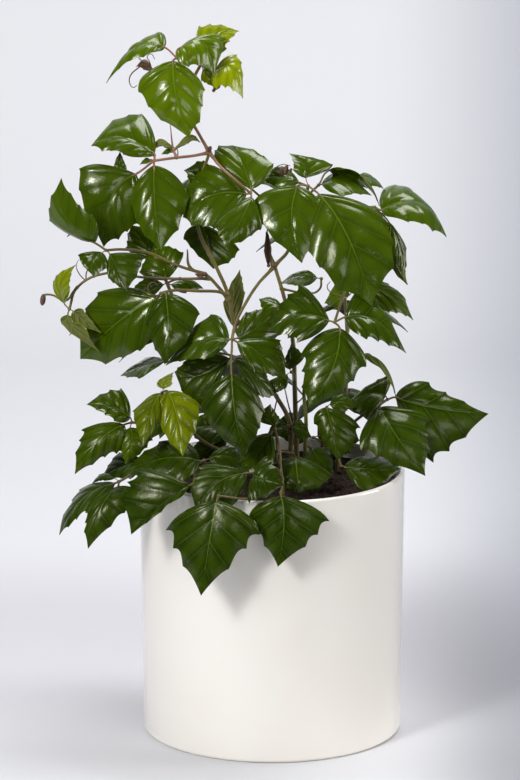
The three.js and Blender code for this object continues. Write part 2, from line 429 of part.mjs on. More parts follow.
// ---- stems -----------------------------------------------------------------------------------
// A shoot is a list of runs: radius and points. A run that ends at a leaf names it instead of a
// last point and stops just short of that leaf's hub. A rooted run starts down in the soil.
const SHOOTS = [
  ['stem_leader', [
    { radius: 1.7, root: [12, 173, -2], path: [[12.5, 195, -2], [12, 213, 0], [2, 233, 2], [-12, 256, 3],
      [-25, 280, 4], [-30, 303, 3], [-38, 322, 2], [-50, 349, 0], [-50, 372, -5], [-42, 399, 0]] },
    { radius: 1.3, path: [[-42, 399, 0], [-48, 410, 0], [-54, 422, -1], [-56, 440, -6], [-51, 452, -9]],
      leaf: 'leaf_top' },
    { radius: 1.1, path: [[-56, 440, -6], [-59, 453, -4], [-62, 461, 3]], leaf: 'leaf_crown' },
    { radius: 0.9, path: [[-56, 440, -6], [-70, 449, -2], [-80, 455, 0], [-89, 463, 0]] },
    { radius: 1.2, path: [[-42, 399, 0], [-52, 397, 3], [-65, 395.5, 7]], leaf: 'leaf_upper_left' },
    { radius: 1.2, path: [[-42, 399, 0], [-36, 391, 4], [-23, 379, 11]], leaf: 'leaf_mid_top' },
    { radius: 1.0, path: [[-50, 366, -4], [-50, 360, -10]], leaf: 'leaf_shade_top' },
    { radius: 1.3, path: [[-30, 302, 3], [-36, 304, 10], [-50, 304.5, 17], [-66, 305, 25]],
      leaf: 'leaf_mid_left' },
    { radius: 1.4, path: [[-29, 298, 3], [-36, 307, 4], [-45, 316, 6], [-55, 320.5, 7], [-57, 333, 4]] },
    { radius: 1.2, path: [[-45, 316, 6], [-62, 321.5, 9], [-84, 331, 13], [-100, 333, 25]],
      leaf: 'leaf_left' },
    { radius: 1.1, path: [[-42, 313, 5], [-66, 313, 9], [-88, 314, 13], [-109.5, 317, 18], [-131, 307, 19]],
      leaf: 'leaf_far_left' },
    { radius: 0.9, path: [[-131, 307, 18.5], [-139, 298, 12], [-149, 302, 10], [-154, 301, 10],
      [-154.5, 295, 10]] },
    { radius: 1.0, path: [[-64, 395.6, 6], [-66, 401, 1], [-68, 418, -4]] },
    { radius: 0.9, path: [[-12, 256, 3], [-17, 240, 6], [-23, 222, 4]], leaf: 'leaf_dark_left' },
    { radius: 0.9, path: [[-62, 313, 8.5], [-66, 312, 6]], leaf: 'leaf_shade_left' },
    { radius: 1.0, path: [[-12, 256, 3], [-40, 262, -2], [-58, 258, 4]], leaf: 'leaf_grey' },
    { radius: 1.0, path: [[-16, 262, 3], [-21, 260, 16]], leaf: 'leaf_shade_centre' },
    { radius: 0.9, path: [[-23, 276, 4], [-24, 276, 0]], leaf: 'leaf_spear' },
    { radius: 0.9, path: [[12, 206, -1], [11, 208, 5]], leaf: 'leaf_soil_mid' },
  ]],
  ['stem_main', [
    { radius: 1.9, root: [17, 173, -14], path: [[16, 213, -10], [15, 247, -6], [14.5, 265, -4],
      [9, 296, -2], [1, 324, 0]] },
    { radius: 1.6, path: [[1, 322, 0], [-3, 333, -1], [-4, 345, -2]] },
    { radius: 1.4, path: [[1, 321, 0], [10, 331, -6], [18, 350, -12], [22, 366, -8]], leaf: 'leaf_great' },
    { radius: 1.3, path: [[1, 321, 0], [-9, 310, 8], [-19, 294, 22], [-25, 281, 38]], leaf: 'leaf_centre' },
    { radius: 1.0, path: [[22, 366, -8], [26, 372, -12]], leaf: 'leaf_right_top' },
    { radius: 1.1, path: [[21, 362, -9], [40, 362, -16], [56, 362, -12]], leaf: 'leaf_right_arm' },
    { radius: 1.1, path: [[18, 350, -12], [40, 340, -8], [51, 318, 2]], leaf: 'leaf_right_low' },
    { radius: 1.1, path: [[45, 330, -4], [50, 312, 10], [46, 296, 28]], leaf: 'leaf_right' },
    { radius: 0.9, path: [[6, 306, -1], [22, 303, -10], [32, 306, -19]], leaf: 'leaf_slate' },
    { radius: 0.9, path: [[11, 284, -3], [10, 287, -6]], leaf: 'leaf_slate_small' },
    { radius: 0.9, path: [[15, 243, -6], [15, 246, 6]], leaf: 'leaf_stem_side' },
  ]],
  ['stem_green', [
    { radius: 1.5, root: [23, 173, 4], path: [[22.5, 195, 4], [23, 213, 4], [22, 240, 4], [28, 258, 3],
      [44, 264, 4]], leaf: 'leaf_pale' },
  ]],
  ['stem_low_left', [
    { radius: 1.6, root: [-4, 173, 18], path: [[-8, 183, 20], [-20, 189, 26], [-45, 199, 28], [-60, 214, 30],
      [-69, 225, 34]], leaf: 'leaf_lime' },
    { radius: 1.2, path: [[-60, 214, 30], [-78, 213, 28], [-88, 213, 31]], leaf: 'leaf_low_left' },
    { radius: 1.2, path: [[-20, 189, 26], [-50, 184, 38], [-75, 182.5, 40], [-92, 178.5, 42]],
      leaf: 'leaf_sweep' },
    { radius: 1.0, path: [[-50, 184, 38], [-48, 185, 46]], leaf: 'leaf_wide_left' },
    { radius: 1.0, path: [[-38, 185, 33], [-50, 180, 50]], leaf: 'leaf_rim_left' },
    { radius: 0.9, path: [[-72, 182.7, 40], [-81, 186.5, 33]], leaf: 'leaf_silver' },
  ]],
  ['stem_front', [
    { radius: 1.3, root: [8, 163, 44], path: [[7, 172, 46], [3, 181, 56], [-2, 180, 68]],
      leaf: 'leaf_rim_centre' },
    { radius: 1.0, path: [[4, 178.5, 52], [0, 170, 74], [-14, 160.5, 92]], leaf: 'leaf_front' },
    { radius: 1.0, path: [[4.4, 178.5, 52], [7, 175, 66], [7, 169.5, 82]], leaf: 'leaf_front_right' },
    { radius: 1.0, path: [[6.4, 175.5, 48], [4, 192, 34]], leaf: 'leaf_soil_front' },
    { radius: 1.0, path: [[6.4, 175.5, 48.6], [5, 196, 44]], leaf: 'leaf_soil_left' },
  ]],
  ['stem_low_right', [
    { radius: 1.5, root: [30, 174, -6], path: [[32, 185, -6], [42, 200, -4], [58, 216, 0]],
      leaf: 'leaf_low_right' },
    { radius: 1.1, path: [[32, 185, -6], [34, 200, 2], [36, 214, 10]], leaf: 'leaf_low_inner' },
    { radius: 1.1, path: [[32, 184, -6], [42, 192, 6]], leaf: 'leaf_rim_right' },
    { radius: 1.0, path: [[32, 182, -5], [28, 190, 6]], leaf: 'leaf_soil_right' },
  ]],
  ['stem_back_left', [
    { radius: 1.6, root: [-14, 180, -24], path: [[-15, 190, -25], [-21, 206, -31], [-38, 240, -42],
      [-60, 285, -46], [-78, 330, -40], [-84, 352, -38]], leaf: 'leaf_back_4' },
    { radius: 1.2, path: [[-24, 212, -33], [-42, 222, -56]], leaf: 'leaf_back_1' },
    { radius: 1.1, path: [[-58, 282, -46], [-74, 290, -46]], leaf: 'leaf_back_2' },
    { radius: 1.1, path: [[-54, 274, -45], [-58, 279, -62]], leaf: 'leaf_back_3' },
    { radius: 1.1, path: [[-22, 208, -32], [-20, 240, -56]], leaf: 'leaf_back_5' },
  ]],
  ['stem_back_right', [
    { radius: 1.6, root: [44, 180, -26], path: [[46, 200, -30], [50, 240, -36], [50, 285, -38],
      [44, 330, -40]], leaf: 'leaf_back_8' },
    { radius: 1.1, path: [[48, 218, -33], [47, 229, -54]], leaf: 'leaf_back_6' },
    { radius: 1.1, path: [[50, 268, -38], [52, 284, -48]], leaf: 'leaf_back_7' },
    { radius: 1.0, path: [[45, 322, -39], [10, 352, -42], [-16, 376, -44]], leaf: 'leaf_back_9' },
    { radius: 0.9, path: [[46, 196, -29], [36, 199, -36]], leaf: 'leaf_soil_back' },
  ]],
];

// The last point of a petiole: short of the leaf's hub by the hub and the clearance.
function stopBefore(from, hub) {
  const back = from.clone().sub(hub).setLength(HUB_RADIUS + CLEARANCE);
  return hub.clone().add(back);
}

function runPoints({ root, path, leaf }, hubs) {
  const points = path.map(place);
  if (root) {
    const foot = place(root);
    points.unshift(new THREE.Vector3(foot.x, foot.y, SOIL_TOP));
    points.unshift(new THREE.Vector3(foot.x, foot.y, SOIL_TOP - ROOT_DEPTH));
  }
  if (leaf) {
    points.push(stopBefore(points[points.length - 1], hubs.get(leaf)));
  }
  return points;
}

function stemSolid(runs, hubs) {
  return join(runs.map((run) => tube(runPoints(run, hubs), run.radius)));
}

// ---- pot and soil ----------------------------------------------------------------------------
function lathe(profile, sides) {
  const outline = profile.map(([r, z]) => new THREE.Vector2(r, z));
  const geometry = new THREE.LatheGeometry(outline, sides);
  geometry.rotateX(Math.PI / 2);
  return geometry;
}

function potProfile() {
  const innerTop = POT_RIM_RADIUS - POT_WALL;
  const innerBase = POT_BASE_RADIUS - POT_WALL;
  const lip = POT_WALL / 2;
  const round = POT_CORNER * (1 - Math.SQRT1_2);
  return [
    [0, 0],
    [POT_BASE_RADIUS - POT_CORNER, 0],
    [POT_BASE_RADIUS - round, round],
    [POT_BASE_RADIUS, POT_CORNER],
    [POT_RIM_RADIUS, POT_HEIGHT - lip],
    [POT_RIM_RADIUS - lip * (1 - Math.SQRT1_2), POT_HEIGHT - lip * (1 - Math.SQRT1_2)],
    [POT_RIM_RADIUS - lip, POT_HEIGHT],
    [innerTop + lip * (1 - Math.SQRT1_2), POT_HEIGHT - lip * (1 - Math.SQRT1_2)],
    [innerTop, POT_HEIGHT - lip],
    [innerBase, POT_FLOOR + POT_CORNER],
    [innerBase - POT_CORNER, POT_FLOOR],
    [0, POT_FLOOR],
  ];
}

// Lumps on the soil: two crossed waves and a slanting one at half their height.
function soilHeight(x, y) {
  const [acrossX, acrossY, slantX, slantY] = SOIL_WAVELENGTHS.map((length) => (2 * Math.PI) / length);
  const crossed = Math.sin(x * acrossX) * Math.cos(y * acrossY);
  const slanting = Math.sin(x * slantX - y * slantY) / 2;
  return SOIL_TOP + SOIL_LUMP * (crossed + slanting);
}

function soilSolid(holes) {
  const gapAtFloor = CLEARANCE / Math.cos(Math.PI / SOIL_SIDES);
  const innerBase = (POT_BASE_RADIUS - POT_WALL - gapAtFloor) * Math.cos(Math.PI / POT_SIDES) - CLEARANCE;
  const innerTop = innerBase + (POT_RIM_RADIUS - POT_BASE_RADIUS) * (SOIL_TOP / POT_HEIGHT) - CLEARANCE;
  const profile = [
    [0, POT_FLOOR + CLEARANCE],
    [innerBase - POT_CORNER, POT_FLOOR + CLEARANCE],
    [innerBase, POT_FLOOR + CLEARANCE + POT_CORNER],
    [innerTop, SOIL_TOP],
    ...SOIL_RINGS.toReversed().map((r) => [r, SOIL_TOP]),
    [0, SOIL_TOP],
  ];
  const geometry = lathe(profile, SOIL_SIDES);
  const position = geometry.attributes.position;
  for (let k = 0; k < position.count; k += 1) {
    if (position.getZ(k) > SOIL_TOP - SOIL_LUMP) {
      position.setZ(k, soilHeight(position.getX(k), position.getY(k)));
    }
  }
  return holes.reduce((soil, hole) => soil.subtract(hole), solidFromGeometry(geometry));
}

// A plain hole for a root, wider than the stem all round and open well above the soil.
function rootHole({ root, radius }) {
  const foot = place(root);
  const bottom = SOIL_TOP - ROOT_DEPTH - CLEARANCE;
  const top = POT_HEIGHT;
  const wide = radius + ROOT_GAP;
  const geometry = new THREE.CylinderGeometry(wide, wide, top - bottom, ROOT_HOLE_SIDES);
  geometry.rotateX(Math.PI / 2);
  geometry.translate(foot.x, foot.y, (top + bottom) / 2);
  return solidFromGeometry(geometry);
}

// ---- the whole plant -------------------------------------------------------------------------
function finish(color, roughness, metalness = 0) {
  return new THREE.MeshStandardMaterial({ color, roughness, metalness });
}

const LEAF_FINISH = {
  old: finish(0x35520f, 0.35),
  fresh: finish(0x4c6f0a, 0.35),
  young: finish(0x7a9418, 0.4),
};
const STEM_FINISH = finish(0x8a6a45, 0.6);
const POT_FINISH = finish(0xf1eee8, 0.15);
const SOIL_FINISH = finish(0x2a2019, 0.95);

function node(name, geometry, material) {
  const mesh = new THREE.Mesh(geometry, material);
  mesh.name = name;
  return mesh;
}

const drawnLeaves = LEAVES.map(([name, age, hub, leaflets]) => (
  { name, age, hub: place(hub), leaflets: leaflets.map(placeLeaflet) }));
const leaves = [...drawnLeaves, ...SPREAD_LEAVES.map(spreadLeaf)];

const ivy = new THREE.Group();
const hubs = new Map(leaves.map(({ name, hub }) => [name, hub]));
const rootedRuns = SHOOTS.flatMap(([, runs]) => runs).filter((run) => run.root);

ivy.add(node('pot', lathe(potProfile(), POT_SIDES), POT_FINISH));
ivy.add(node('soil', geometryOf(soilSolid(rootedRuns.map(rootHole))), SOIL_FINISH));
for (const [name, runs] of SHOOTS) {
  ivy.add(node(name, geometryOf(stemSolid(runs, hubs)), STEM_FINISH));
}
for (const { name, age, hub, leaflets } of leaves) {
  ivy.add(node(name, geometryOf(leafSolid(hub, leaflets)), LEAF_FINISH[age]));
}

export default ivy;
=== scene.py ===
"""A grape ivy in a white glazed cylinder pot: its fine pieces, finishes, light and camera."""
import math
import random

import bmesh
import bpy
from bpy.props import FloatProperty, FloatVectorProperty, IntProperty, PointerProperty
from mathutils import Matrix, Vector, noise


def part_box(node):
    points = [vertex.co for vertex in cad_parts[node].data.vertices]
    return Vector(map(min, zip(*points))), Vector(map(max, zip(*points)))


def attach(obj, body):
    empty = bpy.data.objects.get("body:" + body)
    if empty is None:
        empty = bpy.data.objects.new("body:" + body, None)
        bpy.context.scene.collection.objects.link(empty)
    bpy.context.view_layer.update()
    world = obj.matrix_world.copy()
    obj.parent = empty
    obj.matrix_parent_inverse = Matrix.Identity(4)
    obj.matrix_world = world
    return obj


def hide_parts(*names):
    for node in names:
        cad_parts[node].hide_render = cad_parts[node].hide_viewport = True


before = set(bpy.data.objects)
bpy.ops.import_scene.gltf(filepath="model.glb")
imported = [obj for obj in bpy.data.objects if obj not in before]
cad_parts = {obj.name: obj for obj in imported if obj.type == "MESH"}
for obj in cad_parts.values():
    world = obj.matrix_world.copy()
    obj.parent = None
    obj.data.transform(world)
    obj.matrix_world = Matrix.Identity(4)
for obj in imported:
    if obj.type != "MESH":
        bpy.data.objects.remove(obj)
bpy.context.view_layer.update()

bl_info = {
    "name": "Potted grape ivy",
    "version": (1, 0, 0),
    "blender": (4, 5, 0),
    "location": "View3D > Sidebar > Grape ivy",
    "description": "Makes the leaves, stems, tendrils, soil and glazed pot of a grape ivy",
    "category": "Add Mesh",
}

MM = 0.001
POT_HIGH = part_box("pot")[1]
SOIL_LOW, SOIL_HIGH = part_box("soil")

# ---- the setting-out sheet -------------------------------------------------------------------
# Points are (u, v, d) in millimetres: u right and v up on an upright sheet through the pot's
# axis, and d off the sheet, along the line to the viewpoint in front of the plant.
VIEWPOINT = Vector((-8.2, -3000.0, 957.4))
# The camera stands at the viewpoint: its downward pitch, and its lens from the frame's scale.
CAMERA_PITCH = 13.52
FOCAL_PIXELS = 4566
FRAME_HEIGHT = 780
SENSOR = 36.0


def place(point):
    """The point (u, v, d) of the setting-out sheet, in metres in the part's frame."""
    u, v, d = point
    return Vector((u, 0.0, v)).lerp(VIEWPOINT, -d / VIEWPOINT.y) * MM


# ---- what grows where ------------------------------------------------------------------------
# A leaf has a name, an age, its hub and its leaflets. A leaflet is base, middle of the midrib,
# tip, the widest point of each half and, where it isn't the usual one, its taper.
LEAVES = [
    ["leaf_crown", "fresh", [-63.5, 463, 12], [
      [[-66, 461, 14], [-64, 437, 27], [-55.5, 409, 30], [-89, 441, 16], [-45, 440, 17], 0.55],
      [[-71.5, 470, 10], [-92, 469.5, 12], [-110.5, 446, 14], [-78.5, 479, -6], [-86, 464, 22]],
      [[-63.5, 468, 12], [-46, 473, 8], [-39, 450.5, 6], [-34.5, 478.5, -8], [-55.5, 457.5, 20], 0.6],
    ]],
    ["leaf_top", "young", [-47.5, 458.5, -9], [
      [[-48, 462, -12], [-38, 477, -16], [-22, 481, -14], [-48, 484, -26], [-31, 469, -6]],
      [[-39, 453.5, -8], [-27, 456, -6], [-19.5, 435.5, -4], [-23, 465, -18], [-37, 442.5, 6]],
      [[-46, 455, -8], [-43, 451, -6], [-39, 443.5, -2], [-39, 455, -12], [-47, 447, -1]],
    ]],
    ["leaf_upper_left", "old", [-79, 393.5, 10], [
      [[-78.5, 398, 9], [-101, 409.5, 2], [-121, 403.5, 0], [-88, 424.5, -16], [-99, 398, 13], 0.25],
      [[-91, 384.5, 10], [-108, 368, 16], [-113, 334.5, 20], [-129, 387, 6], [-90, 350.5, 15], 0.6],
      [[-79, 390.5, 12], [-78.5, 362, 26], [-74.5, 331.5, 34], [-95, 364, 18], [-55.5, 368, 14], 0.6],
    ]],
    ["leaf_left", "old", [-111.5, 332.5, 36], [
      [[-119, 337.5, 38], [-136, 350, 48], [-141, 382, 50], [-149, 354, 40], [-121, 357, 42]],
      [[-114, 331, 38], [-121, 324, 50], [-119, 313.5, 54], [-130, 329, 46], [-111, 320, 44]],
      [[-109, 330, 36], [-104, 319, 40], [-97.5, 304.5, 42], [-110, 313, 46], [-86, 327, 28]],
    ]],
    ["leaf_far_left", "young", [-136.5, 292, 19], [
      [[-140, 296, 20], [-142, 309, 24], [-132, 322.5, 26], [-147.5, 311, 18], [-136, 307, 30]],
      [[-134, 290.5, 21], [-128, 285, 24], [-115, 275.5, 28], [-127, 291, 17], [-134, 283, 30]],
      [[-137.5, 288, 18], [-132, 277, 24], [-116, 262.5, 26], [-141.5, 281, 18], [-125, 278, 33]],
    ]],
    ["leaf_mid_left", "old", [-75, 303, 31], [
      [[-77, 300.5, 30], [-104, 283, 26], [-129.5, 257.5, 12], [-117, 303, 10], [-89, 264, 34], 0.42],
      [[-72, 303, 33], [-70, 279.5, 50], [-72.5, 253.5, 56], [-85, 280.5, 38], [-49.5, 287.5, 40], 0.62],
    ]],
    ["leaf_shade_left", "old", [-70.5, 310, 4], [
      [[-71, 312, 4], [-74, 324, -2], [-79, 337, -10], [-89, 318, -4], [-60, 331, 0]],
      [[-73, 309, 4], [-84, 306, 2], [-96, 303, 0], [-86, 313.5, -6], [-84, 299, 8]],
      [[-79, 325, -8], [-85, 336, -14], [-95, 350, -20], [-98, 334, -14], [-74, 345, -20]],
      [[-68, 309, 3], [-57, 311, -4], [-46, 306, -10], [-56, 312, -10], [-58, 303, 2]],
    ]],
    ["leaf_mid_top", "old", [-14.5, 371.5, 10], [
      [[-14, 374, 8], [-20, 392, -2], [-27, 404, -16], [-40, 396, -6], [0, 392, -4], 0.6],
      [[-17, 371, 10], [-40.5, 370, 16], [-60, 355, 14], [-44.5, 390, 2], [-39, 347.5, 26], 0.55],
      [[-14, 369, 12], [-21, 353, 26], [-31.5, 334.5, 34], [-38, 353, 24], [-8, 347, 20], 0.7],
    ]],
    ["leaf_shade_top", "old", [-47, 354, -15], [
      [[-47, 351, -15], [-43, 336, -11], [-39.5, 319.5, -8], [-59, 340, -12], [-22, 332, -16], 0.7],
      [[-42, 358, -18], [-45, 378, -22], [-59, 387, -22], [-55, 371, -14], [-43, 392, -26]],
    ]],
    ["leaf_great", "old", [24, 376.5, 1], [
      [[17, 376.5, 3], [13, 352, 18], [20, 323.5, 28], [-13, 362.5, 10], [35.5, 355, 12], 0.65],
      [[31, 371, 4], [51, 341, 22], [67, 294.5, 40], [22, 333, 24], [78, 351, 8], 0.42],
      [[22.5, 382, 0], [22, 391, -6], [11.5, 398.5, -8], [14, 388, 2], [40, 391, -16]],
      [[18, 379, -2], [6, 383, -8], [-8, 381, -14], [6, 390, -16], [4, 374, -2]],
    ]],
    ["leaf_right_top", "old", [31, 377, -14], [
      [[33, 377.5, -14], [48, 379.5, -14], [66.5, 370, -14], [46, 385, -36], [47.5, 369.5, 2]],
      [[38, 387, -22], [59.5, 383, -22], [71.5, 362.5, -20], [52, 387, -14], [57.5, 376.5, -34]],
      [[57.5, 383, -30], [67.5, 381, -32], [74.5, 374.5, -32], [64, 384.5, -44], [66, 376.5, -22]],
    ]],
    ["leaf_right_arm", "old", [68.5, 362, -8], [
      [[73, 360, -8], [99, 365, -8], [117, 341.5, -2], [82.5, 377.5, -34], [91, 353, 10], 0.3],
      [[78, 352, -14], [86, 334, -12], [87.5, 314.5, -8], [77, 332, -8], [89.5, 334, -18]],
      [[74, 354, -16], [80, 330, -22], [91, 308.5, -20], [86, 334, -32], [76, 328, -22]],
    ]],
    ["leaf_right", "old", [42, 283, 39], [
      [[38.5, 284, 38], [18, 288, 38], [-2, 277, 36], [18, 308, 22], [16.5, 269.5, 48], 0.65],
      [[45.5, 279, 40], [41, 251.5, 56], [24.5, 223, 62], [20, 261, 44], [62.5, 252, 44], 0.55],
      [[49, 286.5, 38], [70, 284, 42], [90.5, 261.5, 44], [63, 304.5, 26], [63, 271.5, 52], 0.6],
    ]],
    ["leaf_right_low", "fresh", [54, 304.5, 8], [
      [[57, 305, 7], [76, 304, 8], [95, 284.5, 10], [78, 310, -6], [78.5, 290, 18], 0.6],
      [[52, 302, 6], [44, 301, -2], [35, 296, -8], [45, 312, -10], [42, 293, 4]],
    ]],
    ["leaf_centre", "old", [-27, 271.5, 48], [
      [[-29, 271, 48], [-50, 270, 46], [-72, 253, 42], [-42, 288, 34], [-47, 257, 56]],
      [[-23, 272, 46], [-10, 279.5, 34], [5.5, 292, 20], [-17, 290, 30], [2, 270, 26], 0.55],
      [[-27.5, 248, 54], [-25, 219, 67], [-18, 189, 68], [-48, 221, 55], [-5, 221, 57]],
      [[-24, 269.5, 47], [-9, 262, 48], [10, 243, 46], [5, 270, 34], [-12, 249, 56]],
    ]],
    ["leaf_shade_centre", "old", [-27.5, 258.5, 36], [
      [[-29, 258, 36], [-50, 246, 32], [-66, 249, 24], [-55, 260, 22], [-49, 226, 38]],
      [[-26, 257, 34], [-12, 246, 32], [2, 232, 28], [-6, 250, 20], [-10, 232, 40]],
    ]],
    ["leaf_lime", "young", [-74.5, 234, 40], [
      [[-75, 234, 42], [-82, 220.5, 54], [-87.5, 196.5, 66], [-94, 221.5, 46], [-74, 216.5, 52]],
      [[-71, 235.5, 42], [-64.5, 218.5, 54], [-60.5, 189.5, 68], [-78, 214.5, 50], [-49, 225, 44], 0.55],
      [[-73.5, 237, 38], [-73, 243, 30], [-66.5, 248.5, 24], [-78, 241, 28], [-67.5, 241, 36]],
    ]],
    ["leaf_grey", "old", [-70.5, 255.5, 10], [
      [[-72.5, 256, 10], [-88, 252.5, 12], [-102.5, 246, 14], [-86, 257.5, -12], [-90, 245, 34]],
    ]],
    ["leaf_low_left", "fresh", [-95, 213.5, 34], [
      [[-96, 217, 34], [-110, 225, 34], [-125.5, 226, 30], [-103, 237.5, 22], [-107, 214.5, 42]],
      [[-100, 212, 36], [-117, 201, 46], [-134, 177, 46], [-128, 208, 34], [-106, 192, 42]],
      [[-96, 210, 36], [-95, 198, 42], [-99.5, 184, 44], [-105.5, 198, 38], [-81, 201, 30]],
    ]],
    ["leaf_low_right", "old", [78, 229.5, 6], [
      [[72.5, 224, 12], [84, 204.5, 30], [104, 176, 34], [61, 194, 34], [107, 215, 12]],
      [[83.5, 231, 4], [114, 223, 4], [146.5, 219.5, -4], [105.5, 241, -8], [110, 186.5, 16], 0.9],
      [[76.5, 232, 4], [65.5, 233.5, 3], [50, 226.5, 2], [78, 247, -10], [63.5, 216.5, 17], 0.6],
    ]],
    ["leaf_low_inner", "old", [37, 224, 14], [
      [[36.5, 224, 16], [41, 207, 24], [44.5, 187, 28], [28.5, 212.5, 18], [59.5, 209.5, 20], 0.5],
      [[39, 226, 13], [47, 228, 12], [58, 224, 10], [47, 235, 4], [48, 220, 16]],
    ]],
    ["leaf_pale", "young", [59, 260, 8], [
      [[61.5, 260.5, 8], [76, 252.5, 10], [83.5, 230.5, 12], [70.5, 257.5, 2], [71, 252, 16]],
    ]],
    ["leaf_front", "old", [-36.5, 162, 101], [
      [[-37.5, 159, 103], [-42, 134, 111], [-48.5, 91.5, 115], [-72, 137.5, 96], [-9.5, 135, 110]],
    ]],
    ["leaf_front_right", "old", [6, 164.5, 94], [
      [[6, 162, 97], [8, 141, 103], [4, 112, 106], [-15.5, 146, 96], [38, 143.5, 96]],
    ]],
    ["leaf_sweep", "old", [-104, 172, 44], [
      [[-106.5, 171, 44], [-129, 160, 46], [-145, 134.5, 44], [-130.5, 166, 28], [-125, 150.5, 58], 0.55],
      [[-104.5, 169, 46], [-116.5, 153.5, 60], [-125.5, 124.5, 64], [-126.5, 150.5, 54], [-90.5, 159, 58]],
      [[-107, 174.5, 41], [-115, 175.5, 38], [-123, 169.5, 36], [-115, 178, 30], [-114, 172.5, 38]],
    ]],
    ["leaf_rim_left", "old", [-53.5, 170.5, 81], [
      [[-55.5, 169.5, 84], [-73.5, 157, 88], [-96, 135, 86], [-93.5, 179.5, 72], [-68, 157, 96], 0.36],
    ]],
    ["leaf_silver", "old", [-86.5, 187.5, 30], [
      [[-88, 187, 30], [-101, 183, 28], [-115, 176.5, 26], [-104, 192, 12], [-97, 174, 38]],
    ]],
    ["leaf_wide_left", "old", [-46, 187, 52], [
      [[-49, 186.5, 52], [-72.5, 188.5, 54], [-102, 178, 50], [-66.5, 203.5, 34], [-64, 172, 66], 0.5],
      [[-43, 188, 50], [-30, 190, 46], [-15.5, 181.5, 42], [-29, 197.5, 34], [-28, 177.5, 54], 0.6],
    ]],
    ["leaf_rim_centre", "old", [-6, 177, 78], [
      [[-17, 178, 84], [-38, 170.5, 93], [-51.5, 149.5, 97], [-49, 182.5, 84], [-28, 155, 97], 0.5],
      [[-12.5, 176.5, 84], [-7, 174.5, 90], [8, 169.5, 92], [-3, 190, 78], [-15, 157, 99], 0.5],
    ]],
    ["leaf_soil_front", "old", [14, 192, 28], [
      [[16, 189.5, 30], [17, 177.5, 42], [18.5, 163.5, 48], [-7.5, 177.5, 34], [40.5, 175.5, 36], 0.6],
    ]],
    ["leaf_soil_left", "old", [2, 209, 36], [
      [[-0.5, 206, 38], [-9.5, 192, 48], [-19.5, 177.5, 56], [-19.5, 197.5, 40], [0, 184.5, 54], 0.6],
      [[2, 211, 34], [-2, 217.5, 30], [-1, 226.5, 26], [-11.5, 216.5, 30], [4.5, 218, 26]],
    ]],
    ["leaf_soil_mid", "old", [11, 211, 12], [
      [[10, 211, 13], [4, 209, 16], [-4, 204, 18], [3, 216, 10], [3, 203, 20]],
      [[13, 211, 13], [19, 209, 15], [27, 203, 16], [20, 215, 10], [18, 202, 20]],
    ]],
    ["leaf_soil_back", "old", [28, 203, -42], [
      [[25, 204, -42], [14, 209, -42], [0, 207, -40], [12, 221, -50], [13, 198, -36]],
      [[31, 204, -43], [43.5, 205.5, -44], [59.5, 201, -46], [36.5, 223.5, -52], [43.5, 188, -34], 0.5],
    ]],
    ["leaf_dark_left", "old", [-27, 206, 4], [
      [[-30, 208, 4], [-43.5, 211, 2], [-57.5, 209.5, 2], [-38, 223, -8], [-44, 197, 14], 0.6],
      [[-30, 204, 4], [-43, 194, 8], [-60, 186.5, 10], [-47, 203.5, -2], [-39.5, 183, 18], 0.6],
    ]],
    ["leaf_soil_right", "old", [25, 197, 16], [
      [[27, 195, 16], [33, 187, 20], [42, 176.5, 24], [39.5, 194, 6], [21.5, 181.5, 26]],
    ]],
    ["leaf_rim_right", "old", [47, 183, 28], [
      [[49, 182.5, 30], [67, 181, 32], [87.5, 181, 22], [65.5, 190.5, 14], [64, 166, 44], 0.6],
    ]],
    ["leaf_stem_side", "old", [13, 248.5, 14], [
      [[10, 247, 16], [3, 241, 20], [1, 233, 22], [-5, 240, 16], [9, 237, 22]],
      [[12, 250.5, 13], [14, 258.5, 9], [12.5, 268, 6], [7.5, 256, 8], [21.5, 259, 6]],
    ]],
    ["leaf_slate", "old", [33, 313, -19], [
      [[30, 313.5, -20], [18, 315, -19], [5, 309.5, -18], [19.5, 318, -36], [19.5, 307.5, 2]],
    ]],
    ["leaf_slate_small", "old", [9, 291, -8], [
      [[7, 292, -9], [0, 296.5, -12], [-9, 299, -14], [1, 300, -20], [-5, 288, -6]],
    ]],
    ["leaf_spear", "young", [-26, 277, -5], [
      [[-26, 280, -7], [-26, 299, -12], [-21.5, 319.5, -14], [-32.5, 297, -14], [-18.5, 304, -12]],
    ]],
]

# The leaves at the back spread by one rule: name, hub, heading and droop in degrees, length.
SPREAD_LEAVES = [
    ["leaf_back_1", [-52, 226, -70], 120, 38, 58],
    ["leaf_back_2", [-92, 290, -44], 155, 25, 50],
    ["leaf_back_3", [-64, 278, -80], 96, 35, 50],
    ["leaf_back_4", [-96, 366, -40], 135, 25, 54],
    ["leaf_back_5", [-18, 258, -74], 92, 40, 58],
    ["leaf_back_6", [46, 236, -70], 60, 40, 56],
    ["leaf_back_7", [53, 296, -56], 82, 32, 46],
    ["leaf_back_8", [36, 352, -58], 95, 28, 56],
    ["leaf_back_9", [-30, 386, -46], 95, 28, 50],
]
# The rule: the side leaflets' angle and length, each half's width, the stalk in millimetres, and
# how much a blade arches along its midrib and sags towards its margins.
SIDE_ANGLE = 76
SIDE_LENGTH = 0.86
HALF_WIDTH = 0.33
SPREAD_STALK = 6
ARCH = 0.12
SAG = 0.3

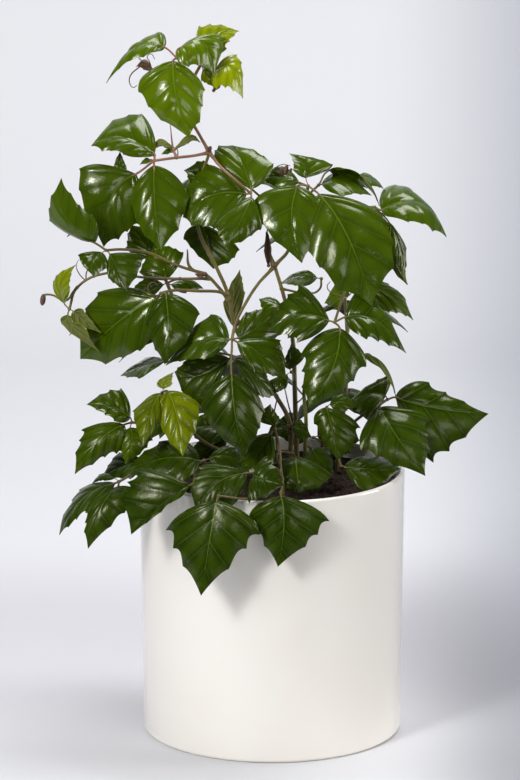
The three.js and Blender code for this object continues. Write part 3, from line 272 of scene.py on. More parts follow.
# A shoot has a name, the root where it stands in the soil, and its runs. A run has a radius, the
# leaf that it ends at, if any, and its points. The first run of a shoot starts at the root.
SHOOTS = [
    ["stem_leader", [12, 173, -2], [
      [1.7, None, [[12.5, 195, -2], [12, 213, 0], [2, 233, 2], [-12, 256, 3], [-25, 280, 4],
        [-30, 303, 3], [-38, 322, 2], [-50, 349, 0], [-50, 372, -5], [-42, 399, 0]]],
      [1.3, "leaf_top", [[-42, 399, 0], [-48, 410, 0], [-54, 422, -1], [-56, 440, -6], [-51, 452, -9]]],
      [1.1, "leaf_crown", [[-56, 440, -6], [-59, 453, -4], [-62, 461, 3]]],
      [0.9, None, [[-56, 440, -6], [-70, 449, -2], [-80, 455, 0], [-89, 463, 0]]],
      [1.2, "leaf_upper_left", [[-42, 399, 0], [-52, 397, 3], [-65, 395.5, 7]]],
      [1.2, "leaf_mid_top", [[-42, 399, 0], [-36, 391, 4], [-23, 379, 11]]],
      [1.0, "leaf_shade_top", [[-50, 366, -4], [-50, 360, -10]]],
      [1.3, "leaf_mid_left", [[-30, 302, 3], [-36, 304, 10], [-50, 304.5, 17], [-66, 305, 25]]],
      [1.4, None, [[-29, 298, 3], [-36, 307, 4], [-45, 316, 6], [-55, 320.5, 7], [-57, 333, 4]]],
      [1.2, "leaf_left", [[-45, 316, 6], [-62, 321.5, 9], [-84, 331, 13], [-100, 333, 25]]],
      [1.1, "leaf_far_left", [[-42, 313, 5], [-66, 313, 9], [-88, 314, 13], [-109.5, 317, 18],
        [-131, 307, 19]]],
      [0.9, None, [[-131, 307, 18.5], [-139, 298, 12], [-149, 302, 10], [-154, 301, 10],
        [-154.5, 295, 10]]],
      [1.0, None, [[-64, 395.6, 6], [-66, 401, 1], [-68, 418, -4]]],
      [0.9, "leaf_dark_left", [[-12, 256, 3], [-17, 240, 6], [-23, 222, 4]]],
      [0.9, "leaf_shade_left", [[-62, 313, 8.5], [-66, 312, 6]]],
      [1.0, "leaf_grey", [[-12, 256, 3], [-40, 262, -2], [-58, 258, 4]]],
      [1.0, "leaf_shade_centre", [[-16, 262, 3], [-21, 260, 16]]],
      [0.9, "leaf_spear", [[-23, 276, 4], [-24, 276, 0]]],
      [0.9, "leaf_soil_mid", [[12, 206, -1], [11, 208, 5]]],
    ]],
    ["stem_main", [17, 173, -14], [
      [1.9, None, [[16, 213, -10], [15, 247, -6], [14.5, 265, -4], [9, 296, -2], [1, 324, 0]]],
      [1.6, None, [[1, 322, 0], [-3, 333, -1], [-4, 345, -2]]],
      [1.4, "leaf_great", [[1, 321, 0], [10, 331, -6], [18, 350, -12], [22, 366, -8]]],
      [1.3, "leaf_centre", [[1, 321, 0], [-9, 310, 8], [-19, 294, 22], [-25, 281, 38]]],
      [1.0, "leaf_right_top", [[22, 366, -8], [26, 372, -12]]],
      [1.1, "leaf_right_arm", [[21, 362, -9], [40, 362, -16], [56, 362, -12]]],
      [1.1, "leaf_right_low", [[18, 350, -12], [40, 340, -8], [51, 318, 2]]],
      [1.1, "leaf_right", [[45, 330, -4], [50, 312, 10], [46, 296, 28]]],
      [0.9, "leaf_slate", [[6, 306, -1], [22, 303, -10], [32, 306, -19]]],
      [0.9, "leaf_slate_small", [[11, 284, -3], [10, 287, -6]]],
      [0.9, "leaf_stem_side", [[15, 243, -6], [15, 246, 6]]],
    ]],
    ["stem_green", [23, 173, 4], [
      [1.5, "leaf_pale", [[22.5, 195, 4], [23, 213, 4], [22, 240, 4], [28, 258, 3], [44, 264, 4]]],
    ]],
    ["stem_low_left", [-4, 173, 18], [
      [1.6, "leaf_lime", [[-8, 183, 20], [-20, 189, 26], [-45, 199, 28], [-60, 214, 30],
        [-69, 225, 34]]],
      [1.2, "leaf_low_left", [[-60, 214, 30], [-78, 213, 28], [-88, 213, 31]]],
      [1.2, "leaf_sweep", [[-20, 189, 26], [-50, 184, 38], [-75, 182.5, 40], [-92, 178.5, 42]]],
      [1.0, "leaf_wide_left", [[-50, 184, 38], [-48, 185, 46]]],
      [1.0, "leaf_rim_left", [[-38, 185, 33], [-50, 180, 50]]],
      [0.9, "leaf_silver", [[-72, 182.7, 40], [-81, 186.5, 33]]],
    ]],
    ["stem_front", [8, 163, 44], [
      [1.3, "leaf_rim_centre", [[7, 172, 46], [3, 181, 56], [-2, 180, 68]]],
      [1.0, "leaf_front", [[4, 178.5, 52], [0, 170, 74], [-14, 160.5, 92]]],
      [1.0, "leaf_front_right", [[4.4, 178.5, 52], [7, 175, 66], [7, 169.5, 82]]],
      [1.0, "leaf_soil_front", [[6.4, 175.5, 48], [4, 192, 34]]],
      [1.0, "leaf_soil_left", [[6.4, 175.5, 48.6], [5, 196, 44]]],
    ]],
    ["stem_low_right", [30, 174, -6], [
      [1.5, "leaf_low_right", [[32, 185, -6], [42, 200, -4], [58, 216, 0]]],
      [1.1, "leaf_low_inner", [[32, 185, -6], [34, 200, 2], [36, 214, 10]]],
      [1.1, "leaf_rim_right", [[32, 184, -6], [42, 192, 6]]],
      [1.0, "leaf_soil_right", [[32, 182, -5], [28, 190, 6]]],
    ]],
    ["stem_back_left", [-14, 180, -24], [
      [1.6, "leaf_back_4", [[-15, 190, -25], [-21, 206, -31], [-38, 240, -42], [-60, 285, -46],
        [-78, 330, -40], [-84, 352, -38]]],
      [1.2, "leaf_back_1", [[-24, 212, -33], [-42, 222, -56]]],
      [1.1, "leaf_back_2", [[-58, 282, -46], [-74, 290, -46]]],
      [1.1, "leaf_back_3", [[-54, 274, -45], [-58, 279, -62]]],
      [1.1, "leaf_back_5", [[-22, 208, -32], [-20, 240, -56]]],
    ]],
    ["stem_back_right", [44, 180, -26], [
      [1.6, "leaf_back_8", [[46, 200, -30], [50, 240, -36], [50, 285, -38], [44, 330, -40]]],
      [1.1, "leaf_back_6", [[48, 218, -33], [47, 229, -54]]],
      [1.1, "leaf_back_7", [[50, 268, -38], [52, 284, -48]]],
      [1.0, "leaf_back_9", [[45, 322, -39], [10, 352, -42], [-16, 376, -44]]],
      [0.9, "leaf_soil_back", [[46, 196, -29], [36, 199, -36]]],
    ]],
]
ROOT_DEPTH = 24

# Thin curling tendrils: radius and points.
TENDRILS = [
    (0.4, [[-80, 455, 0], [-81.5, 460, 1], [-83, 464, 1], [-80.5, 465.5, 2], [-78, 462, 2]]),
    (0.45, [[-88, 457, 1], [-94, 451.5, 1], [-95, 446.5, 1], [-92.5, 443, 2], [-90, 444.5, 2]]),
    (0.5, [[-78, 394, 9], [-79.5, 399, 6], [-77, 403, 4], [-73, 404.5, 2]]),
    (0.5, [[-63.5, 395, 6], [-63, 399, 3], [-64, 403, 1]]),
    (0.5, [[-125, 311, 18], [-125, 316, 17], [-123.5, 322, 15], [-125.5, 327, 14], [-129, 328.5, 15]]),
    (0.4, [[-125, 311, 18], [-130, 317, 18], [-131.5, 322, 17], [-130, 326, 16]]),
    (0.5, [[-72, 304, 30], [-78, 301.5, 33], [-83, 304, 34], [-83, 308.5, 34], [-79.5, 310.5, 33],
           [-77, 308, 33]]),
    (0.45, [[49, 311, 10], [45, 305, 12], [47, 309, 14], [49, 306, 15]]),
    (0.45, [[47, 301, 20], [39, 304, 16], [37, 308, 12], [39, 311, 10]]),
    (0.7, [[22, 377, -3], [14, 380, -6], [8, 384, -8]]),
    (0.45, [[8, 384, -8], [2, 387, -9], [7, 391, -10], [12, 390, -10]]),
    (0.8, [[3, 172, 8], [3, 200, 8], [1, 216, 8], [4, 233, 6]]),
    (0.7, [[14, 216, -6], [12, 222, -2], [8.5, 237, 2]]),
    (0.6, [[15, 226, -8], [19, 229, -4], [23, 234, 2]]),
    (0.5, [[-45, 316, 6], [-49, 313, 9], [-52, 312, 11]]),
]

# Small leaflets and bracts that are still opening: age or kind, and points.
OPENING_LEAFLETS = [
    ("bract", [[-80, 455, 1], [-85, 459, 2], [-90.5, 457, 1], [-84, 462, -2], [-85.5, 455, 5]]),
    ("old", [[-66, 401, 1], [-73, 406, 0], [-81, 399, -2], [-74, 408.5, -4], [-72, 402.5, 5]]),
    ("old", [[-65, 401.5, 1], [-56, 408, 0], [-48, 405.5, 0], [-56, 411, -4], [-56, 405.5, 5]]),
    ("old", [[-67, 400, 1], [-70, 400, 3], [-74, 398, 4], [-70, 402, 1], [-70, 398, 6]]),
    ("fresh", [[-81, 393.5, 9], [-84, 393.5, 10], [-88.5, 391, 11], [-84.5, 395.5, 8], [-84, 391.5, 13]]),
    ("old", [[-99, 384, -3], [-101.5, 392, -4], [-101.5, 400, -5], [-106, 388, -5], [-97.5, 390, -4]]),
    ("bract", [[-45, 316, 7], [-47.5, 315, 9], [-52, 316.5, 10], [-48, 318, 6], [-48, 313, 12]]),
    ("bract", [[-2.5, 322, 0.5], [-3, 334, 1], [-3.5, 347, 0], [-5.5, 333, 1], [-0.5, 334, 1]]),
    ("bract", [[-39, 441, -5], [-37, 444, -5], [-33, 447.5, -5], [-38, 447, -6], [-35, 443, -3]]),
]
# Bracts flush paler above this height, in millimetres.
FLUSHED_ABOVE = 370

# Buds: base, tip and radius.
BUDS = [
    ([-153.6, 302.6, 10], [-154.8, 294.4, 10], 1.9),
    ([8, 383, -8], [10, 391, -10], 1.7),
    ([7, 383, -8], [5.5, 389, -8], 1.2),
    ([10, 383, -8], [13, 388.5, -9], 1.2),
    ([-38, 441.5, -6], [-36, 446.5, -6], 1.2),
    ([-42.6, 399, 1], [-41, 403.5, 1], 1.4),
    ([-24, 280, 5], [-22, 285, 6], 1.2),
]

# A leaflet's outline. Places are shares of its length, and widths of its widest half width.
WIDEST_AT = 0.38
BASE_ROUNDING = 0.6
TIP_TAPER = 0.75
TEETH = [0.38, 0.58, 0.77]
NOTCH_LENGTH = 0.035
TOOTH_OUT = 1.04
TIP_HOLLOW = 0.75
# How much of the half width is bitten out behind each tooth.
SHALLOW_BITE = 0.07
DEEP_BITE = 0.16
DEEP_TOOTHED = {
    "leaf_front", "leaf_front_right", "leaf_low_right", "leaf_sweep", "leaf_rim_left", "leaf_low_left",
    "leaf_wide_left", "leaf_rim_centre", "leaf_low_inner", "leaf_top", "leaf_right",
}
# Leaflets, by leaf and place in the leaf, that turn their underside to the viewpoint.
UNDERSIDE_OUT = {
    ("leaf_spear", 0), ("leaf_pale", 0), ("leaf_right_top", 1), ("leaf_right_arm", 2),
    ("leaf_far_left", 1), ("leaf_far_left", 2), ("opening_leaflet_2", 0), ("opening_leaflet_3", 0),
}
SHARP_ANGLE = math.radians(50)


# ---- settings --------------------------------------------------------------------------------
def colour_setting(name, description, default):
    return FloatVectorProperty(
        name=name, description=description, default=default, size=3, min=0.0, max=1.0, subtype="COLOR")


def length_setting(name, description, default, least=0.0):
    """A length, with its default and its least value given in millimetres."""
    return FloatProperty(
        name=name, description=description, default=default * MM, min=least * MM, unit="LENGTH")


class LeafSettings(bpy.types.PropertyGroup):
    thickness: length_setting("Blade thickness", "Thickness of a leaf blade", 0.45, 0.1)
    columns: IntProperty(
        name="Steps between veins", description="Mesh steps from one side vein to the next",
        default=9, min=2, max=16)
    rows: IntProperty(
        name="Steps across", description="Mesh steps from the midrib to each margin",
        default=10, min=4, max=20)
    pucker: length_setting("Pucker", "Height of an old blade between two side veins", 0.5)
    young_pucker: length_setting("Young pucker", "Height of a young blade between two side veins", 1.3)
    arch: FloatProperty(
        name="Arch", description="Height of the arch of each half, as a share of its width",
        default=0.09, min=0.0, max=0.3)
    wave: length_setting("Margin wave", "Height of the waves along the margin", 0.8)
    unevenness: length_setting("Unevenness", "Height of the blade's uneven bulges", 0.9)
    old: colour_setting("Old leaf", "Colour of a full-grown leaf", (0.028, 0.057, 0.0004))
    fresh: colour_setting("Fresh leaf", "Colour of a leaf in its first year", (0.049, 0.093, 0.0005))
    young: colour_setting("Young leaf", "Colour of a leaf that has just opened", (0.125, 0.178, 0.001))
    # The old leaves' underside colour is a darker copy of the pale one: painted shade on undersides that
    # face down and away.
    old_underside: colour_setting(
        "Old underside", "Colour of the underside of a full-grown leaf", (0.045, 0.07, 0.012))
    young_underside: colour_setting(
        "Young underside", "Colour of the underside of a younger leaf", (0.13, 0.15, 0.03))


class StemSettings(bpy.types.PropertyGroup):
    node_swelling: FloatProperty(
        name="Node swelling", description="How much wider a stem is where a petiole leaves it",
        default=1.35, min=1.0, max=2.0)
    stem: colour_setting("Stem", "Colour of the stems", (0.19, 0.15, 0.035))
    petiole: colour_setting("Petiole", "Colour of the petioles near the crown", (0.34, 0.17, 0.09))
    node: colour_setting("Node", "Colour of the nodes, buds and tendrils", (0.12, 0.06, 0.035))
    green: colour_setting("Green stem", "Colour of the young green shoot", (0.22, 0.24, 0.03))


class PotSettings(bpy.types.PropertyGroup):
    wall: length_setting("Wall", "Thickness of the pot's wall", 3.6, 1.0)
    floor: length_setting("Floor", "Thickness of the pot's floor", 5.0, 1.0)
    corner: length_setting("Corner", "Radius of the rounding at the foot", 3.0, 0.5)
    glaze: colour_setting("Glaze", "Colour of the glaze", (0.90, 0.872, 0.825))


class SoilSettings(bpy.types.PropertyGroup):
    lump: length_setting("Lumps", "Height of the soil's lumps", 2.2)
    crumbs: IntProperty(
        name="Crumbs", description="Number of loose crumbs on the soil", default=520, min=0)
    colour: colour_setting("Soil", "Colour of the damp soil", (0.020, 0.012, 0.008))


class StageSettings(bpy.types.PropertyGroup):
    backdrop: colour_setting("Backdrop", "Colour of the floor and backdrop", (0.78, 0.785, 0.82))
    distance: length_setting(
        "Backdrop distance", "From the pot's axis to the upright backdrop", 1600, 500)
    apron: length_setting("Apron", "How far the floor reaches in front of the pot's axis", 450, 200)
    sky: FloatProperty(
        name="Room light", description="Strength of the light from all round",
        default=0.07, min=0.0)


# ---- pieces ----------------------------------------------------------------------------------
def mesh_of(bm, name):
    """The finished bmesh as a mesh of that name."""
    mesh = bpy.data.meshes.new(name)
    bm.to_mesh(mesh)
    bm.free()
    return mesh


def applied(name, data, modify=None):
    """The mesh that an object with this data would show, once modify has given it modifiers."""
    holder = bpy.data.objects.new(name, data)
    bpy.context.scene.collection.objects.link(holder)
    if modify:
        modify(holder)
    bpy.context.view_layer.update()
    mesh = bpy.data.meshes.new_from_object(holder.evaluated_get(bpy.context.evaluated_depsgraph_get()))
    bpy.data.objects.remove(holder)
    return mesh


def finish_piece(name, mesh, materials, node=None):
    """A finished piece at the origin, with its finishes, riding on the part."""
    piece = bpy.data.objects.new(name, mesh)
    bpy.context.scene.collection.objects.link(piece)
    for material in materials:
        mesh.materials.append(material)
    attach(piece, "root")
    if node:
        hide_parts(node)


def smooth_faces(bm):
    for face in bm.faces:
        face.smooth = True


def tagged(bm, tone):
    """Gives the part's tone value to every vertex that has none yet, and smooth faces."""
    layer = bm.verts.layers.float.get("tone") or bm.verts.layers.float.new("tone")
    for vert in bm.verts:
        if vert[layer] == 0.0:
            vert[layer] = tone
    smooth_faces(bm)


def tube_mesh(runs):
    """Round tubes along smooth lines. A run is a list of (point, radius), in metres."""
    curve = bpy.data.curves.new("tubes", "CURVE")
    curve.dimensions = "3D"
    curve.bevel_depth = 1.0
    curve.bevel_resolution = 2
    curve.resolution_u = 6
    curve.use_fill_caps = True
    for run in runs:
        spline = curve.splines.new("BEZIER")
        spline.bezier_points.add(len(run) - 1)
        for bezier, (point, radius) in zip(spline.bezier_points, run):
            bezier.co = point
            bezier.radius = radius
            bezier.handle_left_type = "AUTO"
            bezier.handle_right_type = "AUTO"
    mesh = applied("tubes", curve)
    bpy.data.curves.remove(curve)
    return mesh


# ---- leaflets --------------------------------------------------------------------------------
# Where the side veins meet the margin, and where each leaves the midrib: the first pairs fan out
# from the base. A panel is the blade between two side veins.
SIDE_VEINS = [0.0, 0.18, 0.38, 0.58, 0.77, 0.90, 1.0]
VEIN_STARTS = [0.0, 0.015, 0.06, 0.30, 0.55, 0.78, 1.0]
PANELS = len(SIDE_VEINS) - 1
VEIN_SWEEP = 0.85
# The hollow behind a tooth drops off at once and runs out slowly. Its peak is divided out.
HOLLOW_ENTRY = 0.35
HOLLOW_PEAK = 0.462
# How late the outline swells out to the first tooth.
FIRST_TOOTH_RISE = 8
# Mesh columns: one near the base, one just past each tooth, and the panel that the steps are for.
BASE_COLUMN = 0.05
PAST_TOOTH = 0.006
PANEL_LENGTH = 0.16
# What chance varies in a blade: the places of its teeth, the puff of its panels and its tone.
TOOTH_SHIFT = 0.025
PUFFS = (0.3, 1.5)
TONES = (0.1, 1.0)
# The length that the settings' heights are for, and how far a long leaflet may go past them.
USUAL_LENGTH = 0.05
MOST_RELIEF = 1.7
# Exponents under 1 that give a panel a broad crown, along and across.
CROWN_ALONG = 0.9
CROWN_ACROSS = 0.8
# The groove over the midrib, as a share of the half width and in metres.
GROOVE_WIDTH = 0.07
GROOVE_DEPTH = 0.35 * MM
# Waves along a margin, and the exponent that keeps them near it.
WAVES = 2.2
WAVE_EDGE = 3
# Uneven bulges: their number, how far their pattern may be moved, and where they reach full height.
BULGES_PER_METRE = 70
BULGE_SHIFTS = (0, 50)
BULGE_CLEARANCE = 0.2

# The rib under a blade: where its points stand, its radius, how far it stands off, and its taper.
RIB_STATIONS = (0.08, 0.25, 0.5, 0.75, 0.94)
RIB_RADIUS = 0.75 * MM
RIB_DROP = 0.25 * MM
RIB_BASE = 0.75
RIB_SLIMMING = 0.6
JOINT_RADIUS = 1.25 * MM
MERGE_DISTANCE = 0.01 * MM

# Values of the tone attribute on stalks and stems, which set their colour.
STEM_TONE = 1.0
PETIOLE_TONE = 2.0
FLUSHED_TONE = 2.2
TENDRIL_TONE = 2.6
NODE_TONE = 3.0

UP = Vector((0, 0, 1))
# How much more than at the viewpoint a drawn blade faces upwards.
UPWARD = 0.6


def blend_list(value, keys, values):
    """The value between two keys of a rising list, by straight lines."""
    for k in range(len(keys) - 1):
        if value <= keys[k + 1]:
            share = (value - keys[k]) / (keys[k + 1] - keys[k])
            return values[k] + share * (values[k + 1] - values[k])
    return values[-1]


def smooth(x):
    """A smooth step from 0 to 1."""
    x = min(max(x, 0.0), 1.0)
    return x * x * (3 - 2 * x)


class Leaflet:
    """A leaflet's midrib, the way out to its widest points, and its toothed outline."""

    def __init__(self, base, middle, tip, left, right, taper=TIP_TAPER, bite=0.0):
        self.base = base
        self.control = 2 * middle - 0.5 * base - 0.5 * tip
        self.tip = tip
        self.reach = [left - self.rib(WIDEST_AT), right - self.rib(WIDEST_AT)]
        self.taper = taper
        self.bite = bite

    def rib(self, s):
        near = self.base.lerp(self.control, s)
        far = self.control.lerp(self.tip, s)
        return near.lerp(far, s)

    def length(self):
        return (self.tip - self.base).length

    def plain_width(self, s):
        """Half width at s without teeth, 1 at the widest."""
        if s < WIDEST_AT:
            return math.sin(math.pi / 2 * s / WIDEST_AT) ** BASE_ROUNDING
        return ((1 - s) / (1 - WIDEST_AT)) ** self.taper

    def half_width(self, s, teeth):
        """Half width at s. A hollow is bitten out behind each tooth, and the tip is drawn out."""
        if s <= teeth[0]:
            return self.plain_width(s) * (1 + (TOOTH_OUT - 1) * (s / teeth[0]) ** FIRST_TOOTH_RISE)
        if s >= teeth[-1]:
            share = (s - teeth[-1]) / (1 - teeth[-1])
            return self.plain_width(teeth[-1]) * TOOTH_OUT * (1 - share ** TIP_HOLLOW)
        k = max(k for k, tooth in enumerate(teeth) if tooth <= s)
        share = (s - teeth[k]) / (teeth[k + 1] - teeth[k])
        hollow = share ** HOLLOW_ENTRY * (1 - share) / HOLLOW_PEAK
        return self.plain_width(s) * (TOOTH_OUT - self.bite * hollow)


def edge_stations(teeth, steps):
    """Where the mesh columns meet a margin: on each side vein and tooth, and between."""
    keys = {*SIDE_VEINS, BASE_COLUMN}
    for tooth in TEETH:
        keys |= {tooth, tooth + PAST_TOOTH, tooth + NOTCH_LENGTH}
    keys = sorted(keys)
    moved = [0.0, *TEETH, 1.0]
    shifts = [0.0, *(new - old for new, old in zip(teeth, TEETH)), 0.0]
    stations = []
    for low, high in zip(keys, keys[1:]):
        count = max(1, round(steps * (high - low) / PANEL_LENGTH))
        stations += [low + (high - low) * k / count for k in range(count)]
    stations.append(1.0)
    return [(s, s + blend_list(s, moved, shifts)) for s in stations]


def face_the_way(bm, faces, way):
    """Turns the faces of one sheet so that together they face the way given."""
    bmesh.ops.recalc_face_normals(bm, faces=faces)
    facing = sum((face.normal * face.calc_area() for face in faces), Vector())
    if facing.dot(way) < 0:
        bmesh.ops.reverse_faces(bm, faces=faces)


def add_blade(bm, leaflet, settings, pucker, rng, toward):
    """One thin blade as a single sheet: a grid drawn out to the leaflet's outline."""
    sides = []
    for _ in range(2):
        teeth = [tooth + rng.uniform(-TOOTH_SHIFT, TOOTH_SHIFT) for tooth in TEETH]
        phase = rng.uniform(0, 2 * math.pi)
        puffs = [rng.uniform(*PUFFS) for _ in SIDE_VEINS]
        sides.append((teeth, edge_stations(teeth, settings.columns), phase, puffs))
    columns = len(sides[0][1])
    grid = bmesh.ops.create_grid(bm, x_segments=columns - 1, y_segments=2 * settings.rows, size=1)
    verts = grid["verts"]
    uv_layer = bm.loops.layers.uv["leaf"]
    tone_layer = bm.verts.layers.float["tone"]
    tone = rng.uniform(*TONES)
    spots = {}
    for vert in verts:
        column = round((vert.co.x + 1) / 2 * (columns - 1))
        across = vert.co.y
        side = 0 if across < 0 else 1
        teeth, stations, phase, puffs = sides[side]
        even, edge = stations[column]
        out = abs(across)
        start = blend_list(even, SIDE_VEINS, VEIN_STARTS)
        along = start + (edge - start) * out ** VEIN_SWEEP
        width = leaflet.half_width(edge, teeth)
        vert.co = leaflet.rib(along) + leaflet.reach[side] * (width * out)
        vein = blend_list(even, SIDE_VEINS, range(len(SIDE_VEINS)))
        spots[vert] = (vein, across, even, width, phase, puffs[int(vein)])
        vert[tone_layer] = tone
    faces = list({face for vert in verts for face in vert.link_faces})
    middle = sum((vert.co for vert in verts), Vector()) / len(verts)
    face_the_way(bm, faces, toward(middle))
    for face in faces:
        face.smooth = True
        for loop in face.loops:
            vein, across, *_ = spots[loop.vert]
            loop[uv_layer].uv = (vein / PANELS, (across + 1) / 2)
    bm.normal_update()
    half = (leaflet.reach[0].length + leaflet.reach[1].length) / 2
    size = min(MOST_RELIEF, leaflet.length() / USUAL_LENGTH)
    shift = Vector((rng.uniform(*BULGE_SHIFTS), rng.uniform(*BULGE_SHIFTS), 0))
    lifts = []
    for vert in verts:
        vein, across, even, width, phase, puff = spots[vert]
        out = abs(across)
        dome = 4 * out * (1 - out)
        panel = puff * abs(math.sin(math.pi * vein)) ** CROWN_ALONG
        rise = panel * dome ** CROWN_ACROSS * width
        arch = dome * half * width
        groove = math.exp(-((out / GROOVE_WIDTH) ** 2)) * (1 - even)
        wave = out ** WAVE_EDGE * math.sin(2 * math.pi * WAVES * even + phase) * width
        bulge = noise.noise(vert.co * BULGES_PER_METRE + shift)
        lift = pucker * size * rise + settings.arch * arch
        lift += settings.wave * size * wave - GROOVE_DEPTH * groove
        lift += settings.unevenness * size * bulge * width * smooth(out / BULGE_CLEARANCE)
        lifts.append((vert, vert.normal * lift))
    for vert, lift in lifts:
        vert.co += lift


def toward_viewpoint(point):
    """The way that the upper side of a drawn leaflet faces: partly up, partly to the front."""
    return (VIEWPOINT * MM - point).normalized() + UP * UPWARD


def turned_away(point):
    return -toward_viewpoint(point)


def straight_up(point):
    return UP


def blade_mesh(name, leaflets, settings, pucker, toward):
    """The blades of one leaf as closed solids. Their undersides take the leaf's second finish."""
    rng = random.Random(name)
    bm = bmesh.new()
    bm.loops.layers.uv.new("leaf")
    bm.verts.layers.float.new("tone")
    for index, leaflet in enumerate(leaflets):
        facing = turned_away if (name, index) in UNDERSIDE_OUT else toward
        add_blade(bm, leaflet, settings, pucker, rng, facing)
    bmesh.ops.remove_doubles(bm, verts=bm.verts, dist=MERGE_DISTANCE)
    sheet = mesh_of(bm, name)
    for _ in range(2):
        sheet.materials.append(None)

    def add_wall(holder):
        wall = holder.modifiers.new("Blade", "SOLIDIFY")
        wall.thickness = settings.thickness
        wall.offset = -1.0
        wall.use_even_offset = False
        wall.material_offset = 1

    return applied("blade", sheet, add_wall)


def rib_run(leaflet, hub, toward):
    """The stalk and the raised midrib under one blade, as a tapering run."""
    side = leaflet.reach[0].cross(leaflet.tip - leaflet.base).normalized()
    below = -side if side.dot(toward(leaflet.base)) > 0 else side
    thick = RIB_RADIUS * min(1.0, leaflet.length() / USUAL_LENGTH)
    run = [(leaflet.base, thick)]
    if (hub - leaflet.base).length > MM:
        run.insert(0, (hub, thick))
    for s in RIB_STATIONS:
        radius = thick * (RIB_BASE - RIB_SLIMMING * s)
        run.append((leaflet.rib(s) + below * (radius + RIB_DROP), radius))
    return run


def leaf_mesh(name, hub, leaflets, settings, pucker, toward):
    """One compound leaf: blades, their stalks and ribs, and the joint where they meet."""
    bm = bmesh.new()
    bm.from_mesh(blade_mesh(name, leaflets, settings, pucker, toward))
    blade_faces = len(bm.faces)
    bm.from_mesh(tube_mesh([rib_run(leaflet, hub, toward) for leaflet in leaflets]))
    bmesh.ops.create_icosphere(
        bm, subdivisions=2, radius=JOINT_RADIUS, matrix=Matrix.Translation(hub))
    tagged(bm, PETIOLE_TONE)
    bm.faces.ensure_lookup_table()
    for edge in bm.edges:
        if len(edge.link_faces) == 2 and edge.calc_face_angle() > SHARP_ANGLE:
            edge.smooth = False
    for face in bm.faces[blade_faces:]:
        face.material_index = 2
    return mesh_of(bm, name)


def spread_leaf(hub, heading, droop, length):
    """Three leaflets spread from a hub by one rule."""
    leaflets = []
    for side in (-1, 0, 1):
        turn = math.radians(heading + side * SIDE_ANGLE)
        fall = math.radians(droop)
        reach = (length if side == 0 else length * SIDE_LENGTH) * MM
        out = Vector((math.cos(turn), math.sin(turn), 0))
        across = Vector((-out.y, out.x, 0))
        along = out * math.cos(fall) - UP * math.sin(fall)
        base = hub + out * (SPREAD_STALK * MM)
        tip = base + along * reach
        middle = base.lerp(tip, 0.5) + UP * (ARCH * reach)
        widest = Leaflet(base, middle, tip, base, base).rib(WIDEST_AT)
        half = HALF_WIDTH * reach
        left, right = [widest + across * (hand * half) - UP * (SAG * half) for hand in (1, -1)]
        leaflets.append(Leaflet(base, middle, tip, left, right))
    return leaflets


def drawn_leaflet(points, bite):
    """The leaflet of a row of five points, with its own taper where the row ends in one."""
    corners = [place(p) for p in points[:5]]
    taper = points[5] if len(points) > 5 else TIP_TAPER
    return Leaflet(*corners, taper=taper, bite=bite)


# ---- finishes --------------------------------------------------------------------------------
# Heights in metres between which the shaded lower plant passes into the lit upper one.
SHADED_BELOW = 0.18
LIT_ABOVE = 0.30
BRIGHTEST_AT = 0.40
# Petioles begin to flush pink at the first height, and are fully flushed at the second.
FLUSH_FROM = 0.37
FLUSH_TO = 0.39
# How much paler than the blade its midrib is, by age.
RIB_LIGHT = {"old": 2.2, "fresh": 1.9, "young": 1.6}
COAT_ROUGHNESS = 0.12
BARE_CLAY = (0.62, 0.55, 0.46, 1.0)
# The colour of the painted shadow on the floor beside the pot.
SHADOW_BLACK = (0.0, 0.0, 0.0, 1.0)


def set_inputs(tree, node, inputs):
    """Gives each input its value, or links it to the socket given for it."""
    for key, value in inputs.items():
        if isinstance(value, bpy.types.NodeSocket):
            tree.links.new(value, node.inputs[key])
        else:
            node.inputs[key].default_value = value


def add_node(tree, kind, inputs=None, **settings):
    """A shader node with its settings and its inputs."""
    made = tree.nodes.new(kind)
    for key, value in settings.items():
        setattr(made, key, value)
    set_inputs(tree, made, inputs or {})
    return made


def new_group(name, inputs, outputs):
    """An empty shader node group with float inputs and outputs."""
    tree = bpy.data.node_groups.new(name, "ShaderNodeTree")
    for label, value in inputs.items():
        socket = tree.interface.new_socket(label, in_out="INPUT", socket_type="NodeSocketFloat")
        socket.default_value = value
    for label in outputs:
        tree.interface.new_socket(label, in_out="OUTPUT", socket_type="NodeSocketFloat")
    return tree, add_node(tree, "NodeGroupInput").outputs, add_node(tree, "NodeGroupOutput")


def use_group(tree, name, make, inputs=None):
    """The outputs of a shared group, which is made the first time that a finish asks for it."""
    group = bpy.data.node_groups.get(name) or make(name)
    holder = add_node(tree, "ShaderNodeGroup", node_tree=group)
    set_inputs(tree, holder, inputs or {})
    return holder.outputs


def math_node(tree, operation, first, second=0.0, third=0.0):
    made = add_node(tree, "ShaderNodeMath", {0: first, 1: second, 2: third}, operation=operation)
    return made.outputs["Value"]


def ramp(tree, value, low, high, start=0.0, end=1.0):
    """A smooth step of value from low to high, going from start to end."""
    inputs = {"Value": value, "From Min": low, "From Max": high, "To Min": start, "To Max": end}
    made = add_node(tree, "ShaderNodeMapRange", inputs, interpolation_type="SMOOTHSTEP")
    return made.outputs["Result"]


def mix_colours(tree, share, first, second):
    made = add_node(tree, "ShaderNodeMix", {0: share, 6: first, 7: second}, data_type="RGBA")
    return made.outputs[2]


def tinted(colour, red=1.0, green=1.0, blue=1.0):
    """The colour with its parts multiplied, as the four numbers of a colour socket."""
    return (colour[0] * red, colour[1] * green, colour[2] * blue, 1.0)


def shaded(colour, share):
    return tinted(colour, share, share, share)


def object_position(tree):
    return add_node(tree, "ShaderNodeTexCoord").outputs["Object"]


def split_position(tree):
    return add_node(tree, "ShaderNodeSeparateXYZ", {0: object_position(tree)}).outputs


def tone_attribute(tree):
    made = add_node(tree, "ShaderNodeAttribute", attribute_name="tone", attribute_type="GEOMETRY")
    return made.outputs["Fac"]


